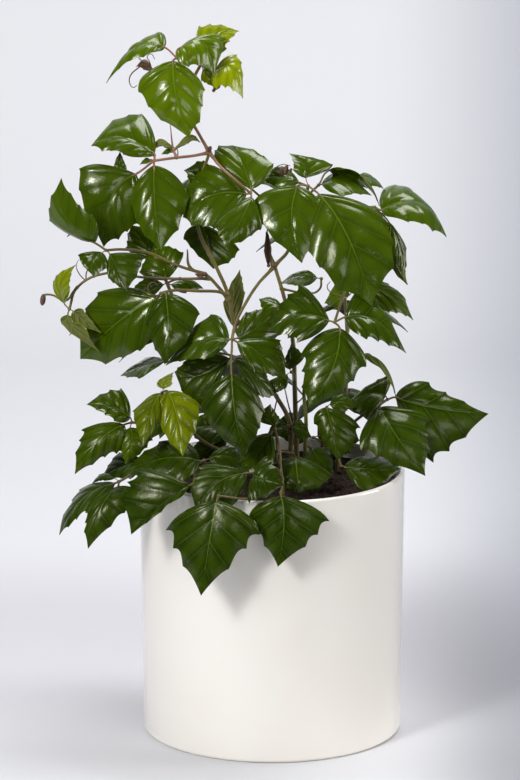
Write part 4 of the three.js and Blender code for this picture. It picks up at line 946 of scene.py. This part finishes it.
def vein_group(name):
    """Masks of a blade's midrib and side veins, and the relief of its panels and fine net."""
    tree, entry, result = new_group(
        name, {"Rib width": 0.03, "Vein width": 0.05, "Net scale": 420.0}, ["Rib", "Veins", "Relief"])
    uv = add_node(tree, "ShaderNodeUVMap", uv_map="leaf")
    split = add_node(tree, "ShaderNodeSeparateXYZ", {0: uv.outputs["UV"]}).outputs
    along = math_node(tree, "MULTIPLY", split["X"], float(PANELS))
    out = math_node(tree, "ABSOLUTE", math_node(tree, "MULTIPLY_ADD", split["Y"], 2.0, -1.0))
    gap = math_node(tree, "PINGPONG", along, 0.5)
    narrow = math_node(tree, "MULTIPLY_ADD", out, -0.75, 1.0)
    width = math_node(tree, "MULTIPLY", entry["Vein width"], narrow)
    veins = ramp(tree, gap, 0.0, width, 1.0, 0.0)
    fade = ramp(tree, out, 0.75, 1.0, 1.0, 0.0)
    net = add_node(
        tree, "ShaderNodeTexVoronoi", {"Vector": object_position(tree), "Scale": entry["Net scale"]},
        feature="DISTANCE_TO_EDGE")
    cells = ramp(tree, net.outputs["Distance"], 0.0, 0.25)
    raised = math_node(tree, "MULTIPLY", ramp(tree, gap, 0.0, 0.35), ramp(tree, out, 0.0, 0.2))
    set_inputs(tree, result, {
        "Rib": ramp(tree, out, 0.0, entry["Rib width"], 1.0, 0.0),
        "Veins": math_node(tree, "MULTIPLY", veins, fade),
        "Relief": math_node(tree, "MULTIPLY_ADD", cells, 0.22, raised),
    })
    return tree


def mottle_group(name):
    """Soft unevenness at one scale, and fine specks at another."""
    tree, entry, result = new_group(name, {"Scale": 40.0, "Speck scale": 900.0}, ["Soft", "Specks"])
    position = object_position(tree)
    soft = add_node(
        tree, "ShaderNodeTexNoise",
        {"Vector": position, "Scale": entry["Scale"], "Detail": 3.0, "Roughness": 0.55})
    specks = add_node(
        tree, "ShaderNodeTexNoise", {"Vector": position, "Scale": entry["Speck scale"], "Detail": 1.0})
    set_inputs(tree, result, {
        "Soft": ramp(tree, soft.outputs["Fac"], 0.3, 0.7),
        "Specks": specks.outputs["Fac"],
    })
    return tree


def veins_of(tree):
    return use_group(tree, "Leaf veins", vein_group)


def mottle_of(tree, scale, speck_scale):
    return use_group(tree, "Mottle", mottle_group, {"Scale": scale, "Speck scale": speck_scale})


def new_finish(name, roughness, coat=0.0, specular=0.5):
    """A material whose uniform numbers stand on the shader's own sockets."""
    material = bpy.data.materials.new(name)
    material.use_nodes = True
    tree = material.node_tree
    shader = tree.nodes["Principled BSDF"]
    set_inputs(tree, shader, {
        "Roughness": roughness, "Coat Weight": coat, "Coat Roughness": COAT_ROUGHNESS,
        "Specular IOR Level": specular,
    })
    return material, tree, shader


def bump(tree, height, distance):
    made = add_node(tree, "ShaderNodeBump", {"Height": height, "Distance": distance})
    return made.outputs["Normal"]


def blade_finish(name, colour, rib_light):
    """The waxy upper side of a leaf: dark between the veins, paler along them, with painted shade and
    light.
    """
    material, tree, shader = new_finish(name, 0.2, specular=0.22)
    veins = veins_of(tree)
    mottle = mottle_of(tree, 60.0, 300.0)
    height = split_position(tree)["Z"]
    # Painted light and shade by height: darker on the lower leaves, brighter on the upper ones.
    raised = ramp(tree, height, SHADED_BELOW, BRIGHTEST_AT, -0.12, 0.47)
    share = math_node(tree, "MULTIPLY_ADD", mottle["Soft"], 0.2, raised)
    share = math_node(tree, "MULTIPLY_ADD", tone_attribute(tree), 0.35, share)
    # Painted shade in the grooves along the veins and the fine net, where the relief dips.
    share = math_node(tree, "MULTIPLY_ADD", veins["Relief"], 0.3, share)
    share = math_node(tree, "SUBTRACT", share, 0.2)
    # A shaded and a lit copy of the leaf colour, mixed by the painted light and shade together with random
    # mottle and tone.
    base = mix_colours(tree, share, shaded(colour, 0.5), tinted(colour, 2.1, 1.8, 1.2))
    red, green, blue = colour
    pale = (red * rib_light + 0.04, green * rib_light + 0.045, blue * 2 + 0.008, 1.0)
    side_veins = math_node(tree, "MULTIPLY", veins["Veins"], 0.4)
    lines = math_node(tree, "MAXIMUM", veins["Rib"], side_veins)
    dull = ramp(tree, height, SHADED_BELOW, LIT_ABOVE, 0.22, 0.14)
    relief = math_node(tree, "MULTIPLY_ADD", mottle["Specks"], 0.8, veins["Relief"])
    set_inputs(tree, shader, {
        "Specular Tint": (1.0, 1.0, 0.7, 1.0),
        "Base Color": mix_colours(tree, lines, base, pale),
        "Roughness": math_node(tree, "MULTIPLY_ADD", mottle["Soft"], 0.10, dull),
        "Coat Weight": ramp(tree, height, SHADED_BELOW, LIT_ABOVE, 0.08, 0.36),
        "Normal": bump(tree, relief, 0.14 * MM),
    })
    return material


def underside_finish(name, colour):
    """The underside: duller, with its veins standing out."""
    material, tree, shader = new_finish(name, 0.5, specular=0.15)
    veins = veins_of(tree)
    mottle = use_group(tree, "Mottle", mottle_group, {"Scale": 60.0})
    base = mix_colours(tree, mottle["Soft"], shaded(colour, 0.8), tinted(colour))
    lines = math_node(tree, "MAXIMUM", veins["Rib"], veins["Veins"])
    pale = (*(part * 1.5 + 0.02 for part in colour), 1.0)
    set_inputs(tree, shader, {
        "Base Color": mix_colours(tree, lines, base, pale),
        "Normal": bump(tree, veins["Relief"], -0.3 * MM),
    })
    return material


def stem_finish(name, stem, petiole, node):
    """Speckled bark, with painted shade low down. The tone attribute is 1 on stems, 2 on petioles and 3 on
    nodes.
    """
    material, tree, shader = new_finish(name, 0.42)
    height = split_position(tree)["Z"]
    tone = tone_attribute(tree)
    mottle = mottle_of(tree, 90.0, 1400.0)
    flushed = math_node(tree, "MULTIPLY", ramp(tree, height, FLUSH_FROM, FLUSH_TO),
                        ramp(tree, tone, STEM_TONE, PETIOLE_TONE))
    # Painted shade: the stems are darker low down, near the soil, and take their full colour higher up.
    lit = ramp(tree, height, SHADED_BELOW, LIT_ABOVE)
    base = mix_colours(tree, lit, shaded(stem, 0.65), tinted(stem))
    base = mix_colours(tree, flushed, base, tinted(petiole))
    base = mix_colours(tree, ramp(tree, tone, PETIOLE_TONE, NODE_TONE), base, tinted(node))
    flecks = math_node(tree, "MULTIPLY", mottle["Soft"], 0.45)
    set_inputs(tree, shader, {
        "Base Color": mix_colours(tree, flecks, base, shaded(node, 0.6)),
        "Normal": bump(tree, mottle["Specks"], 0.25 * MM),
    })
    return material


def glaze_finish(name, colour):
    """Thick white glaze, a little uneven, worn off to bare clay where the pot stands."""
    material, tree, shader = new_finish(name, 0.1, coat=0.5)
    mottle = mottle_of(tree, 9.0, 260.0)
    bare = ramp(tree, split_position(tree)["Z"], 0.3 * MM, 0.9 * MM, 1.0, 0.0)
    base = mix_colours(tree, mottle["Soft"], tinted(colour), tinted(colour, 0.985, 0.97, 0.94))
    uneven = math_node(tree, "MULTIPLY_ADD", mottle["Specks"], 0.15, mottle["Soft"])
    set_inputs(tree, shader, {
        "Base Color": mix_colours(tree, bare, base, BARE_CLAY),
        "Roughness": math_node(tree, "MULTIPLY_ADD", bare, 0.7, 0.1),
        "Normal": bump(tree, uneven, 0.12 * MM),
    })
    return material


def soil_finish(name, colour):
    """Damp potting soil: near black, with browner fibres and crumbs."""
    material, tree, shader = new_finish(name, 0.9, specular=0.3)
    mottle = mottle_of(tree, 160.0, 700.0)
    brown = tinted(colour, 2.6, 2.4, 2.2)
    set_inputs(tree, shader, {
        "Base Color": mix_colours(tree, mottle["Soft"], tinted(colour), brown),
        "Normal": bump(tree, mottle["Specks"], 0.8 * MM),
    })
    return material


def paper_finish(name, colour):
    """Backdrop paper with painted shade: a little darker at the back of the floor and towards the right,
    and a painted shadow on the floor right of the pot.
    """
    material, tree, shader = new_finish(name, 0.8, specular=0.1)
    position = split_position(tree)
    # Painted shade: the floor darkens in a band behind the pot, and floor and backdrop darken towards the
    # right.
    depth = math_node(tree, "MULTIPLY_ADD", position["Y"], 0.33, 1.0)
    right = ramp(tree, math_node(tree, "DIVIDE", position["X"], depth), 0.06, 0.24)
    behind = math_node(tree, "MULTIPLY", ramp(tree, position["Y"], -0.05, 0.12),
                       ramp(tree, position["Y"], 0.25, 0.50, 1.0, 0.0))
    base = mix_colours(tree, behind, tinted(colour), tinted(colour, 0.84, 0.82, 0.84))
    base = mix_colours(tree, right, base, tinted(colour, 0.54, 0.56, 0.60))
    # Painted shadow of the plant and pot on the floor to their right.
    painted_shadow_beside = math_node(tree, "MULTIPLY", ramp(tree, position["X"], 0.06, 0.16, 0.0, 0.3),
                       ramp(tree, position["Y"], 0.05, 0.45, 1.0, 0.0))
    # Clear from behind and from below, where it would hide the plant.
    reverse = add_node(tree, "ShaderNodeNewGeometry").outputs["Backfacing"]
    set_inputs(tree, shader, {
        "Base Color": mix_colours(tree, painted_shadow_beside, base, SHADOW_BLACK),
        "Alpha": math_node(tree, "SUBTRACT", 1.0, reverse),
    })
    return material


def finish_named(name, make, *details):
    """The finish of that name, which is made the first time that a piece asks for it."""
    return bpy.data.materials.get(name) or make(name, *details)


def brown_finish():
    stems = bpy.context.scene.ivy_stems
    return finish_named("brown stem", stem_finish, stems.stem, stems.petiole, stems.node)


def green_finish():
    green = bpy.context.scene.ivy_stems.green
    return finish_named("green stem", stem_finish, green, green, green)


def leaf_finishes(settings, age, name):
    """The finishes of a leaf's upper side, underside and stalk."""
    shows_underside = name in {leaf for leaf, index in UNDERSIDE_OUT}
    # Painted shade: old leaves' undersides take the darker copy. Younger leaves, and old leaves with a
    # leaflet turned to the viewpoint, take the pale underside, which on those old leaflets also stands in
    # for light shining through the blade.
    under, below = "old underside", settings.old_underside
    if age != "old" or shows_underside:
        under, below = "young underside", settings.young_underside
    return [
        finish_named(f"{age} leaf", blade_finish, getattr(settings, age), RIB_LIGHT[age]),
        finish_named(under, underside_finish, below),
        brown_finish(),
    ]


# ---- turned and drawn bodies -----------------------------------------------------------------
def arc(centre, radius, start, end, steps):
    """Points on an arc in the profile's plane, angles in degrees."""
    points = []
    for k in range(steps + 1):
        angle = math.radians(start + (end - start) * k / steps)
        points.append((centre[0] + radius * math.cos(angle), centre[1] + radius * math.sin(angle)))
    return points


def open_line(bm, points):
    """The vertices and edges of a line through the points."""
    verts = [bm.verts.new(point) for point in points]
    return verts, [bm.edges.new(pair) for pair in zip(verts, verts[1:])]


def spun(profile, steps):
    """A closed body of revolution round the part's axis. The profile starts and ends on it."""
    bm = bmesh.new()
    verts, edges = open_line(bm, [(r, 0, z) for r, z in profile])
    bmesh.ops.spin(bm, geom=verts + edges, cent=(0, 0, 0), axis=(0, 0, 1), angle=2 * math.pi,
                   steps=steps, use_merge=True)
    bmesh.ops.remove_doubles(bm, verts=bm.verts, dist=MERGE_DISTANCE)
    bmesh.ops.recalc_face_normals(bm, faces=bm.faces)
    return bm


# ---- operators -------------------------------------------------------------------------------
class IVY_OT_leaves(bpy.types.Operator):
    """Makes every compound leaf in place of its plain solid"""
    bl_idname = "ivy.leaves"
    bl_label = "Leaves"

    def execute(self, context):
        settings = context.scene.ivy_leaves
        made = []
        for name, age, hub, leaflets in LEAVES:
            bite = DEEP_BITE if name in DEEP_TOOTHED else SHALLOW_BITE
            drawn = [drawn_leaflet(points, bite) for points in leaflets]
            made.append((name, age, place(hub), drawn, toward_viewpoint))
        for name, hub, heading, droop, length in SPREAD_LEAVES:
            hub = place(hub)
            made.append((name, "old", hub, spread_leaf(hub, heading, droop, length), straight_up))
        for name, age, hub, leaflets, toward in made:
            pucker = settings.pucker if age == "old" else settings.young_pucker
            mesh = leaf_mesh(name, hub, leaflets, settings, pucker, toward)
            finish_piece(f"{name}_blades", mesh, leaf_finishes(settings, age, name),
                         node=name)
        return {"FINISHED"}


# Widths along a run, as shares of its radius.
FOOT_WIDTH = 1.05
STEM_SLIMMING = 0.5
PETIOLE_BASE = 1.4
PETIOLE_NECK = 0.9
PETIOLE_WIDTH = 0.8
LOOSE_END = 0.3
# A petiole narrows to its neck over this length.
NECK_AT = 5 * MM
# Runs of at least this radius, in millimetres, are stems and not petioles.
STEM_RADIUS = 1.5


def stem_tube(run, root, hubs):
    """The points of a run, from the soil or from its parent, each with its radius."""
    radius, leaf, path = run
    points = [place(p) for p in path]
    if leaf:
        points.append(hubs[leaf])
    if root:
        foot = place(root)
        top = Vector((foot.x, foot.y, SOIL_HIGH.z))
        points = [top - UP * (ROOT_DEPTH * MM), top, *points]
        widths = [FOOT_WIDTH - STEM_SLIMMING * k / len(points) for k in range(len(points))]
    else:
        way = points[1] - points[0]
        points.insert(1, points[0] + way * min(0.5, NECK_AT / way.length))
        widths = [PETIOLE_BASE, PETIOLE_NECK] + [PETIOLE_WIDTH] * (len(points) - 2)
        if not leaf:
            widths[-1] = LOOSE_END
    return [(point, radius * MM * width) for point, width in zip(points, widths)]


class IVY_OT_stems(bpy.types.Operator):
    """Makes each shoot with its petioles in place of its plain solid"""
    bl_idname = "ivy.stems"
    bl_label = "Stems"

    def execute(self, context):
        swelling = context.scene.ivy_stems.node_swelling
        hubs = {name: place(hub) for name, age, hub, leaflets in LEAVES}
        hubs.update({name: place(hub) for name, hub, *rest in SPREAD_LEAVES})
        for name, root, runs in SHOOTS:
            stems, petioles, nodes = [], [], []
            for number, run in enumerate(runs):
                tube = stem_tube(run, root if number == 0 else None, hubs)
                (stems if run[0] >= STEM_RADIUS else petioles).append(tube)
                if number > 0:
                    nodes.append((tube[0][0], run[0] * MM * swelling))
            bm = bmesh.new()
            for tubes, tone in ((stems, STEM_TONE), (petioles, PETIOLE_TONE)):
                if tubes:
                    bm.from_mesh(tube_mesh(tubes))
                tagged(bm, tone)
            for centre, radius in nodes:
                bmesh.ops.create_icosphere(
                    bm, subdivisions=2, radius=radius, matrix=Matrix.Translation(centre))
            tagged(bm, NODE_TONE)
            finish, slot = brown_finish(), "brown_stem"
            if name == "stem_green":
                finish, slot = green_finish(), "green_stem"
            finish_piece(f"{name}_shoot", mesh_of(bm, f"{name}_shoot"), [finish], node=name)
        return {"FINISHED"}


TENDRIL_SLIMMING = 0.45


class IVY_OT_tendrils(bpy.types.Operator):
    """Makes the curling tendrils, buds and leaflets that are still opening"""
    bl_idname = "ivy.tendrils"
    bl_label = "Tendrils and buds"

    def execute(self, context):
        self.add_tendrils()
        self.add_buds()
        self.add_opening_leaflets(context.scene.ivy_leaves)
        return {"FINISHED"}

    def add_tendrils(self):
        runs = []
        for radius, points in TENDRILS:
            last = len(points) - 1
            runs.append([(place(p), radius * MM * (1 - TENDRIL_SLIMMING * k / last))
                         for k, p in enumerate(points)])
        bm = bmesh.new()
        bm.from_mesh(tube_mesh(runs))
        tagged(bm, TENDRIL_TONE)
        finish_piece("tendrils", mesh_of(bm, "tendrils"), [brown_finish()])

    def add_buds(self):
        bm = bmesh.new()
        for base, tip, radius in BUDS:
            base, tip = place(base), place(tip)
            axis = tip - base
            turn = axis.to_track_quat("Z", "Y").to_matrix().to_4x4()
            shape = Matrix.Diagonal((radius * MM, radius * MM, axis.length / 2, 1))
            spot = Matrix.Translation(base.lerp(tip, 0.5)) @ turn @ shape
            bmesh.ops.create_uvsphere(bm, u_segments=12, v_segments=10, radius=1, matrix=spot)
        tagged(bm, NODE_TONE)
        finish_piece("buds", mesh_of(bm, "buds"), [brown_finish()])

    def add_opening_leaflets(self, settings):
        for number, (kind, points) in enumerate(OPENING_LEAFLETS):
            name = f"opening_leaflet_{number + 1}"
            leaflet = drawn_leaflet(points, SHALLOW_BITE)
            mesh = leaf_mesh(
                name, leaflet.base, [leaflet], settings, settings.young_pucker, toward_viewpoint)
            if kind == "bract":
                tone = FLUSHED_TONE if points[0][1] > FLUSHED_ABOVE else NODE_TONE
                mesh.attributes["tone"].data.foreach_set("value", [tone] * len(mesh.vertices))
                finish_piece(name, mesh, [brown_finish()] * 3)
            else:
                finish_piece(name, mesh, leaf_finishes(settings, kind, name))


# The pot's wall leans out a little from its foot.
FOOT_INSET = 1.8 * MM
WALL_STEPS = 12
POT_SEGMENTS = 144


class IVY_OT_pot(bpy.types.Operator):
    """Makes the glazed pot in place of its plain solid"""
    bl_idname = "ivy.pot"
    bl_label = "Pot"

    def execute(self, context):
        pot = context.scene.ivy_pot
        corner = pot.corner
        rim = POT_HIGH.x
        foot = rim - FOOT_INSET
        inner_foot = foot - pot.wall
        lip = pot.wall / 2
        lip_height = POT_HIGH.z - lip
        profile = [(0, 0), *arc((foot - corner, corner), corner, -90, 0, 8)]
        for k in range(1, WALL_STEPS):
            share = k / WALL_STEPS
            profile.append((foot + FOOT_INSET * share, corner + (lip_height - corner) * share))
        profile += arc((rim - lip, lip_height), lip, 0, 180, 12)
        profile += arc((inner_foot - corner, pot.floor + corner), corner, 0, -90, 6)
        bm = spun([*profile, (0, pot.floor)], POT_SEGMENTS)
        smooth_faces(bm)
        finish = finish_named("white glaze", glaze_finish, pot.glaze)
        finish_piece("pot_glazed", mesh_of(bm, "pot_glazed"), [finish], node="pot")
        return {"FINISHED"}


# The soil's surface is a disc of rings and segments, raised by broad lumps and fine grains.
SOIL_RINGS = 46
SOIL_SEGMENTS = 180
LUMPS_PER_METRE = 45
GRAINS_PER_METRE = 260
LUMP_SHARE = 0.7
GRAIN_SHARE = 0.55
# Loose crumbs: their sizes in millimetres, how flat they are, how high they lie as a share of
# their size, and how far they stay from the pot.
CRUMB_SIZES = (0.7, 2.3)
CRUMB_FLATTENING = ((0.6, 1), (0.5, 0.9))
CRUMB_RISE = 0.3
CRUMB_EDGE = 3 * MM
# The soil's foot, as two corners in from its edge and up from its base, the drop from its surface
# to its shoulder, and the depth down to which a vertex belongs to the surface.
SOIL_FOOT = ((5 * MM, 0), (2 * MM, 3 * MM))
SOIL_SHOULDER = 1.5 * MM
SURFACE_DEPTH = 0.1 * MM


def soil_lift(soil, x, y):
    """How far the soil's lumps rise at a place."""
    spot = Vector((x, y, 0))
    lumps = noise.fractal(spot * LUMPS_PER_METRE, 1.0, 2.0, 2)
    grains = noise.fractal(spot * GRAINS_PER_METRE, 0.7, 2.1, 4)
    return soil.lump * (LUMP_SHARE * lumps + GRAIN_SHARE * grains)


def add_crumb(bm, soil, edge, top, rng):
    """One loose crumb, part sunk in the surface."""
    distance = (edge - CRUMB_EDGE) * math.sqrt(rng.random())
    angle = rng.uniform(0, 2 * math.pi)
    x, y = distance * math.cos(angle), distance * math.sin(angle)
    size = rng.uniform(*CRUMB_SIZES) * MM
    spot = Matrix.Translation((x, y, top + soil_lift(soil, x, y) + size * CRUMB_RISE))
    turn = Matrix.Rotation(rng.uniform(0, math.pi), 4, Vector((rng.random(), rng.random(), 1)))
    sides = [size * rng.uniform(*share) for share in CRUMB_FLATTENING]
    shape = Matrix.Diagonal((size, *sides, 1))
    bmesh.ops.create_icosphere(bm, subdivisions=1, radius=1, matrix=spot @ turn @ shape)


class IVY_OT_soil(bpy.types.Operator):
    """Makes the crumbly soil in place of its plain solid"""
    bl_idname = "ivy.soil"
    bl_label = "Soil"

    def execute(self, context):
        soil = context.scene.ivy_soil
        rng = random.Random(11)
        edge = SOIL_HIGH.x
        low = SOIL_LOW.z
        top = SOIL_HIGH.z - soil.lump
        profile = [(0, low), *((edge - inset, low + rise) for inset, rise in SOIL_FOOT)]
        profile.append((edge, top - SOIL_SHOULDER))
        profile += [(edge * (1 - k / SOIL_RINGS), top) for k in range(SOIL_RINGS)]
        bm = spun([*profile, (0, top)], SOIL_SEGMENTS)
        for vert in bm.verts:
            if vert.co.z > top - SURFACE_DEPTH:
                vert.co.z += soil_lift(soil, vert.co.x, vert.co.y)
        for _ in range(soil.crumbs):
            add_crumb(bm, soil, edge, top, rng)
        finish = finish_named("potting soil", soil_finish, soil.colour)
        finish_piece(
            "soil_crumbly", mesh_of(bm, "soil_crumbly"), [finish], node="soil")
        return {"FINISHED"}


WHITE = (1.0, 1.0, 1.0)
WARM_WHITE = (1.0, 0.985, 0.96)
# Soft boxes: name, place, what it points at, its two sides in metres, watts and colour.
LIGHTS = [
    ("key", (-1.3, -1.7, 1.5), (0, 0, 0.2), (1.1, 1.2), 20, WARM_WHITE),
    ("key core", (-1.15, -1.5, 1.35), (0, 0, 0.25), (0.34, 0.46), 19, WHITE),
    ("top", (0.3, 0.35, 1.8), (0, 0, 0.3), (0.9, 0.7), 16, WHITE),
    ("fill", (1.0, -2.2, 1.0), (0, 0, 0.1), (1.6, 0.5), 11, WARM_WHITE),
    ("side", (1.9, 0.0, 0.5), (0, 0, 0.12), (0.8, 1.0), 19, WARM_WHITE),
    ("backdrop light", (0.0, 0.5, 2.4), (0, 1.6, 0.5), (2.4, 0.7), 10.5, WHITE),
]
ROOM_LIGHT = (0.92, 0.94, 1.0, 1.0)

# The backdrop in metres: its height, half its width and the radius of its bend.
BACKDROP_HEIGHT = 3.0
BACKDROP_SIDE = 3.0
BACKDROP_BEND = 0.5


class IVY_OT_stage(bpy.types.Operator):
    """Makes the floor and backdrop, the light and the camera"""
    bl_idname = "ivy.stage"
    bl_label = "Stage"

    def execute(self, context):
        self.add_backdrop(context.scene)
        self.add_lights(context.scene)
        self.add_camera(context.scene)
        context.scene.view_settings.view_transform = "Standard"
        return {"FINISHED"}

    def add_backdrop(self, scene):
        stage = scene.ivy_stage
        back = stage.distance
        bend = BACKDROP_BEND
        profile = [(-stage.apron, 0.0), *arc((back - bend, bend), bend, -90, 0, 16)]
        profile.append((back, BACKDROP_HEIGHT))
        bm = bmesh.new()
        edges = open_line(bm, [(-BACKDROP_SIDE, y, z) for y, z in profile])[1]
        pulled = bmesh.ops.extrude_edge_only(bm, edges=edges)
        moved = [part for part in pulled["geom"] if isinstance(part, bmesh.types.BMVert)]
        bmesh.ops.translate(bm, verts=moved, vec=(2 * BACKDROP_SIDE, 0, 0))
        face_the_way(bm, bm.faces, UP)
        smooth_faces(bm)
        mesh = mesh_of(bm, "backdrop")
        mesh.materials.append(finish_named("studio paper", paper_finish, stage.backdrop))
        backdrop = bpy.data.objects.new("backdrop", mesh)
        scene.collection.objects.link(backdrop)

    def add_lights(self, scene):
        scene.world = bpy.data.worlds.new("studio")
        scene.world.use_nodes = True
        tree = scene.world.node_tree
        sky = {"Color": ROOM_LIGHT, "Strength": scene.ivy_stage.sky}
        set_inputs(tree, tree.nodes["Background"], sky)
        for name, location, target, size, energy, colour in LIGHTS:
            data = bpy.data.lights.new(name, "AREA")
            data.shape = "RECTANGLE"
            data.size, data.size_y = size
            data.energy = energy
            data.color = colour
            holder = bpy.data.objects.new(name, data)
            holder.location = location
            way = Vector(target) - holder.location
            holder.rotation_euler = way.to_track_quat("-Z", "Y").to_euler()
            scene.collection.objects.link(holder)

    def add_camera(self, scene):
        data = bpy.data.cameras.new("camera")
        data.lens = FOCAL_PIXELS / FRAME_HEIGHT * SENSOR
        data.sensor_width = SENSOR
        data.clip_end = 20
        camera = bpy.data.objects.new("camera", data)
        camera.location = VIEWPOINT * MM
        camera.rotation_euler = (math.radians(90 - CAMERA_PITCH), 0, 0)
        scene.collection.objects.link(camera)
        scene.camera = camera


# ---- panel and running -----------------------------------------------------------------------
PANEL_ROWS = [
    ("ivy_leaves", LeafSettings, ["ivy.leaves"]),
    ("ivy_stems", StemSettings, ["ivy.stems", "ivy.tendrils"]),
    ("ivy_pot", PotSettings, ["ivy.pot"]),
    ("ivy_soil", SoilSettings, ["ivy.soil"]),
    ("ivy_stage", StageSettings, ["ivy.stage"]),
]


class IVY_PT_panel(bpy.types.Panel):
    """Lists the pieces of the potted grape ivy"""
    bl_idname = "IVY_PT_panel"
    bl_label = "Potted grape ivy"
    bl_space_type = "VIEW_3D"
    bl_region_type = "UI"
    bl_category = "Grape ivy"

    def draw(self, context):
        for name, kind, operators in PANEL_ROWS:
            box = self.layout.box()
            for setting in kind.__annotations__:
                box.prop(getattr(context.scene, name), setting)
            for operator in operators:
                box.operator(operator)


CLASSES = [
    *(kind for name, kind, operators in PANEL_ROWS),
    IVY_OT_leaves, IVY_OT_stems, IVY_OT_tendrils, IVY_OT_pot, IVY_OT_soil, IVY_OT_stage, IVY_PT_panel,
]


def register():
    for kind in CLASSES:
        bpy.utils.register_class(kind)
    for name, kind, operators in PANEL_ROWS:
        setattr(bpy.types.Scene, name, PointerProperty(type=kind))


def unregister():
    for name, kind, operators in PANEL_ROWS:
        delattr(bpy.types.Scene, name)
    for kind in reversed(CLASSES):
        bpy.utils.unregister_class(kind)


def main():
    register()
    bpy.ops.ivy.leaves()
    bpy.ops.ivy.stems()
    bpy.ops.ivy.tendrils()
    bpy.ops.ivy.pot()
    bpy.ops.ivy.soil()
    bpy.ops.ivy.stage()


if __name__ == "__main__":
    main()
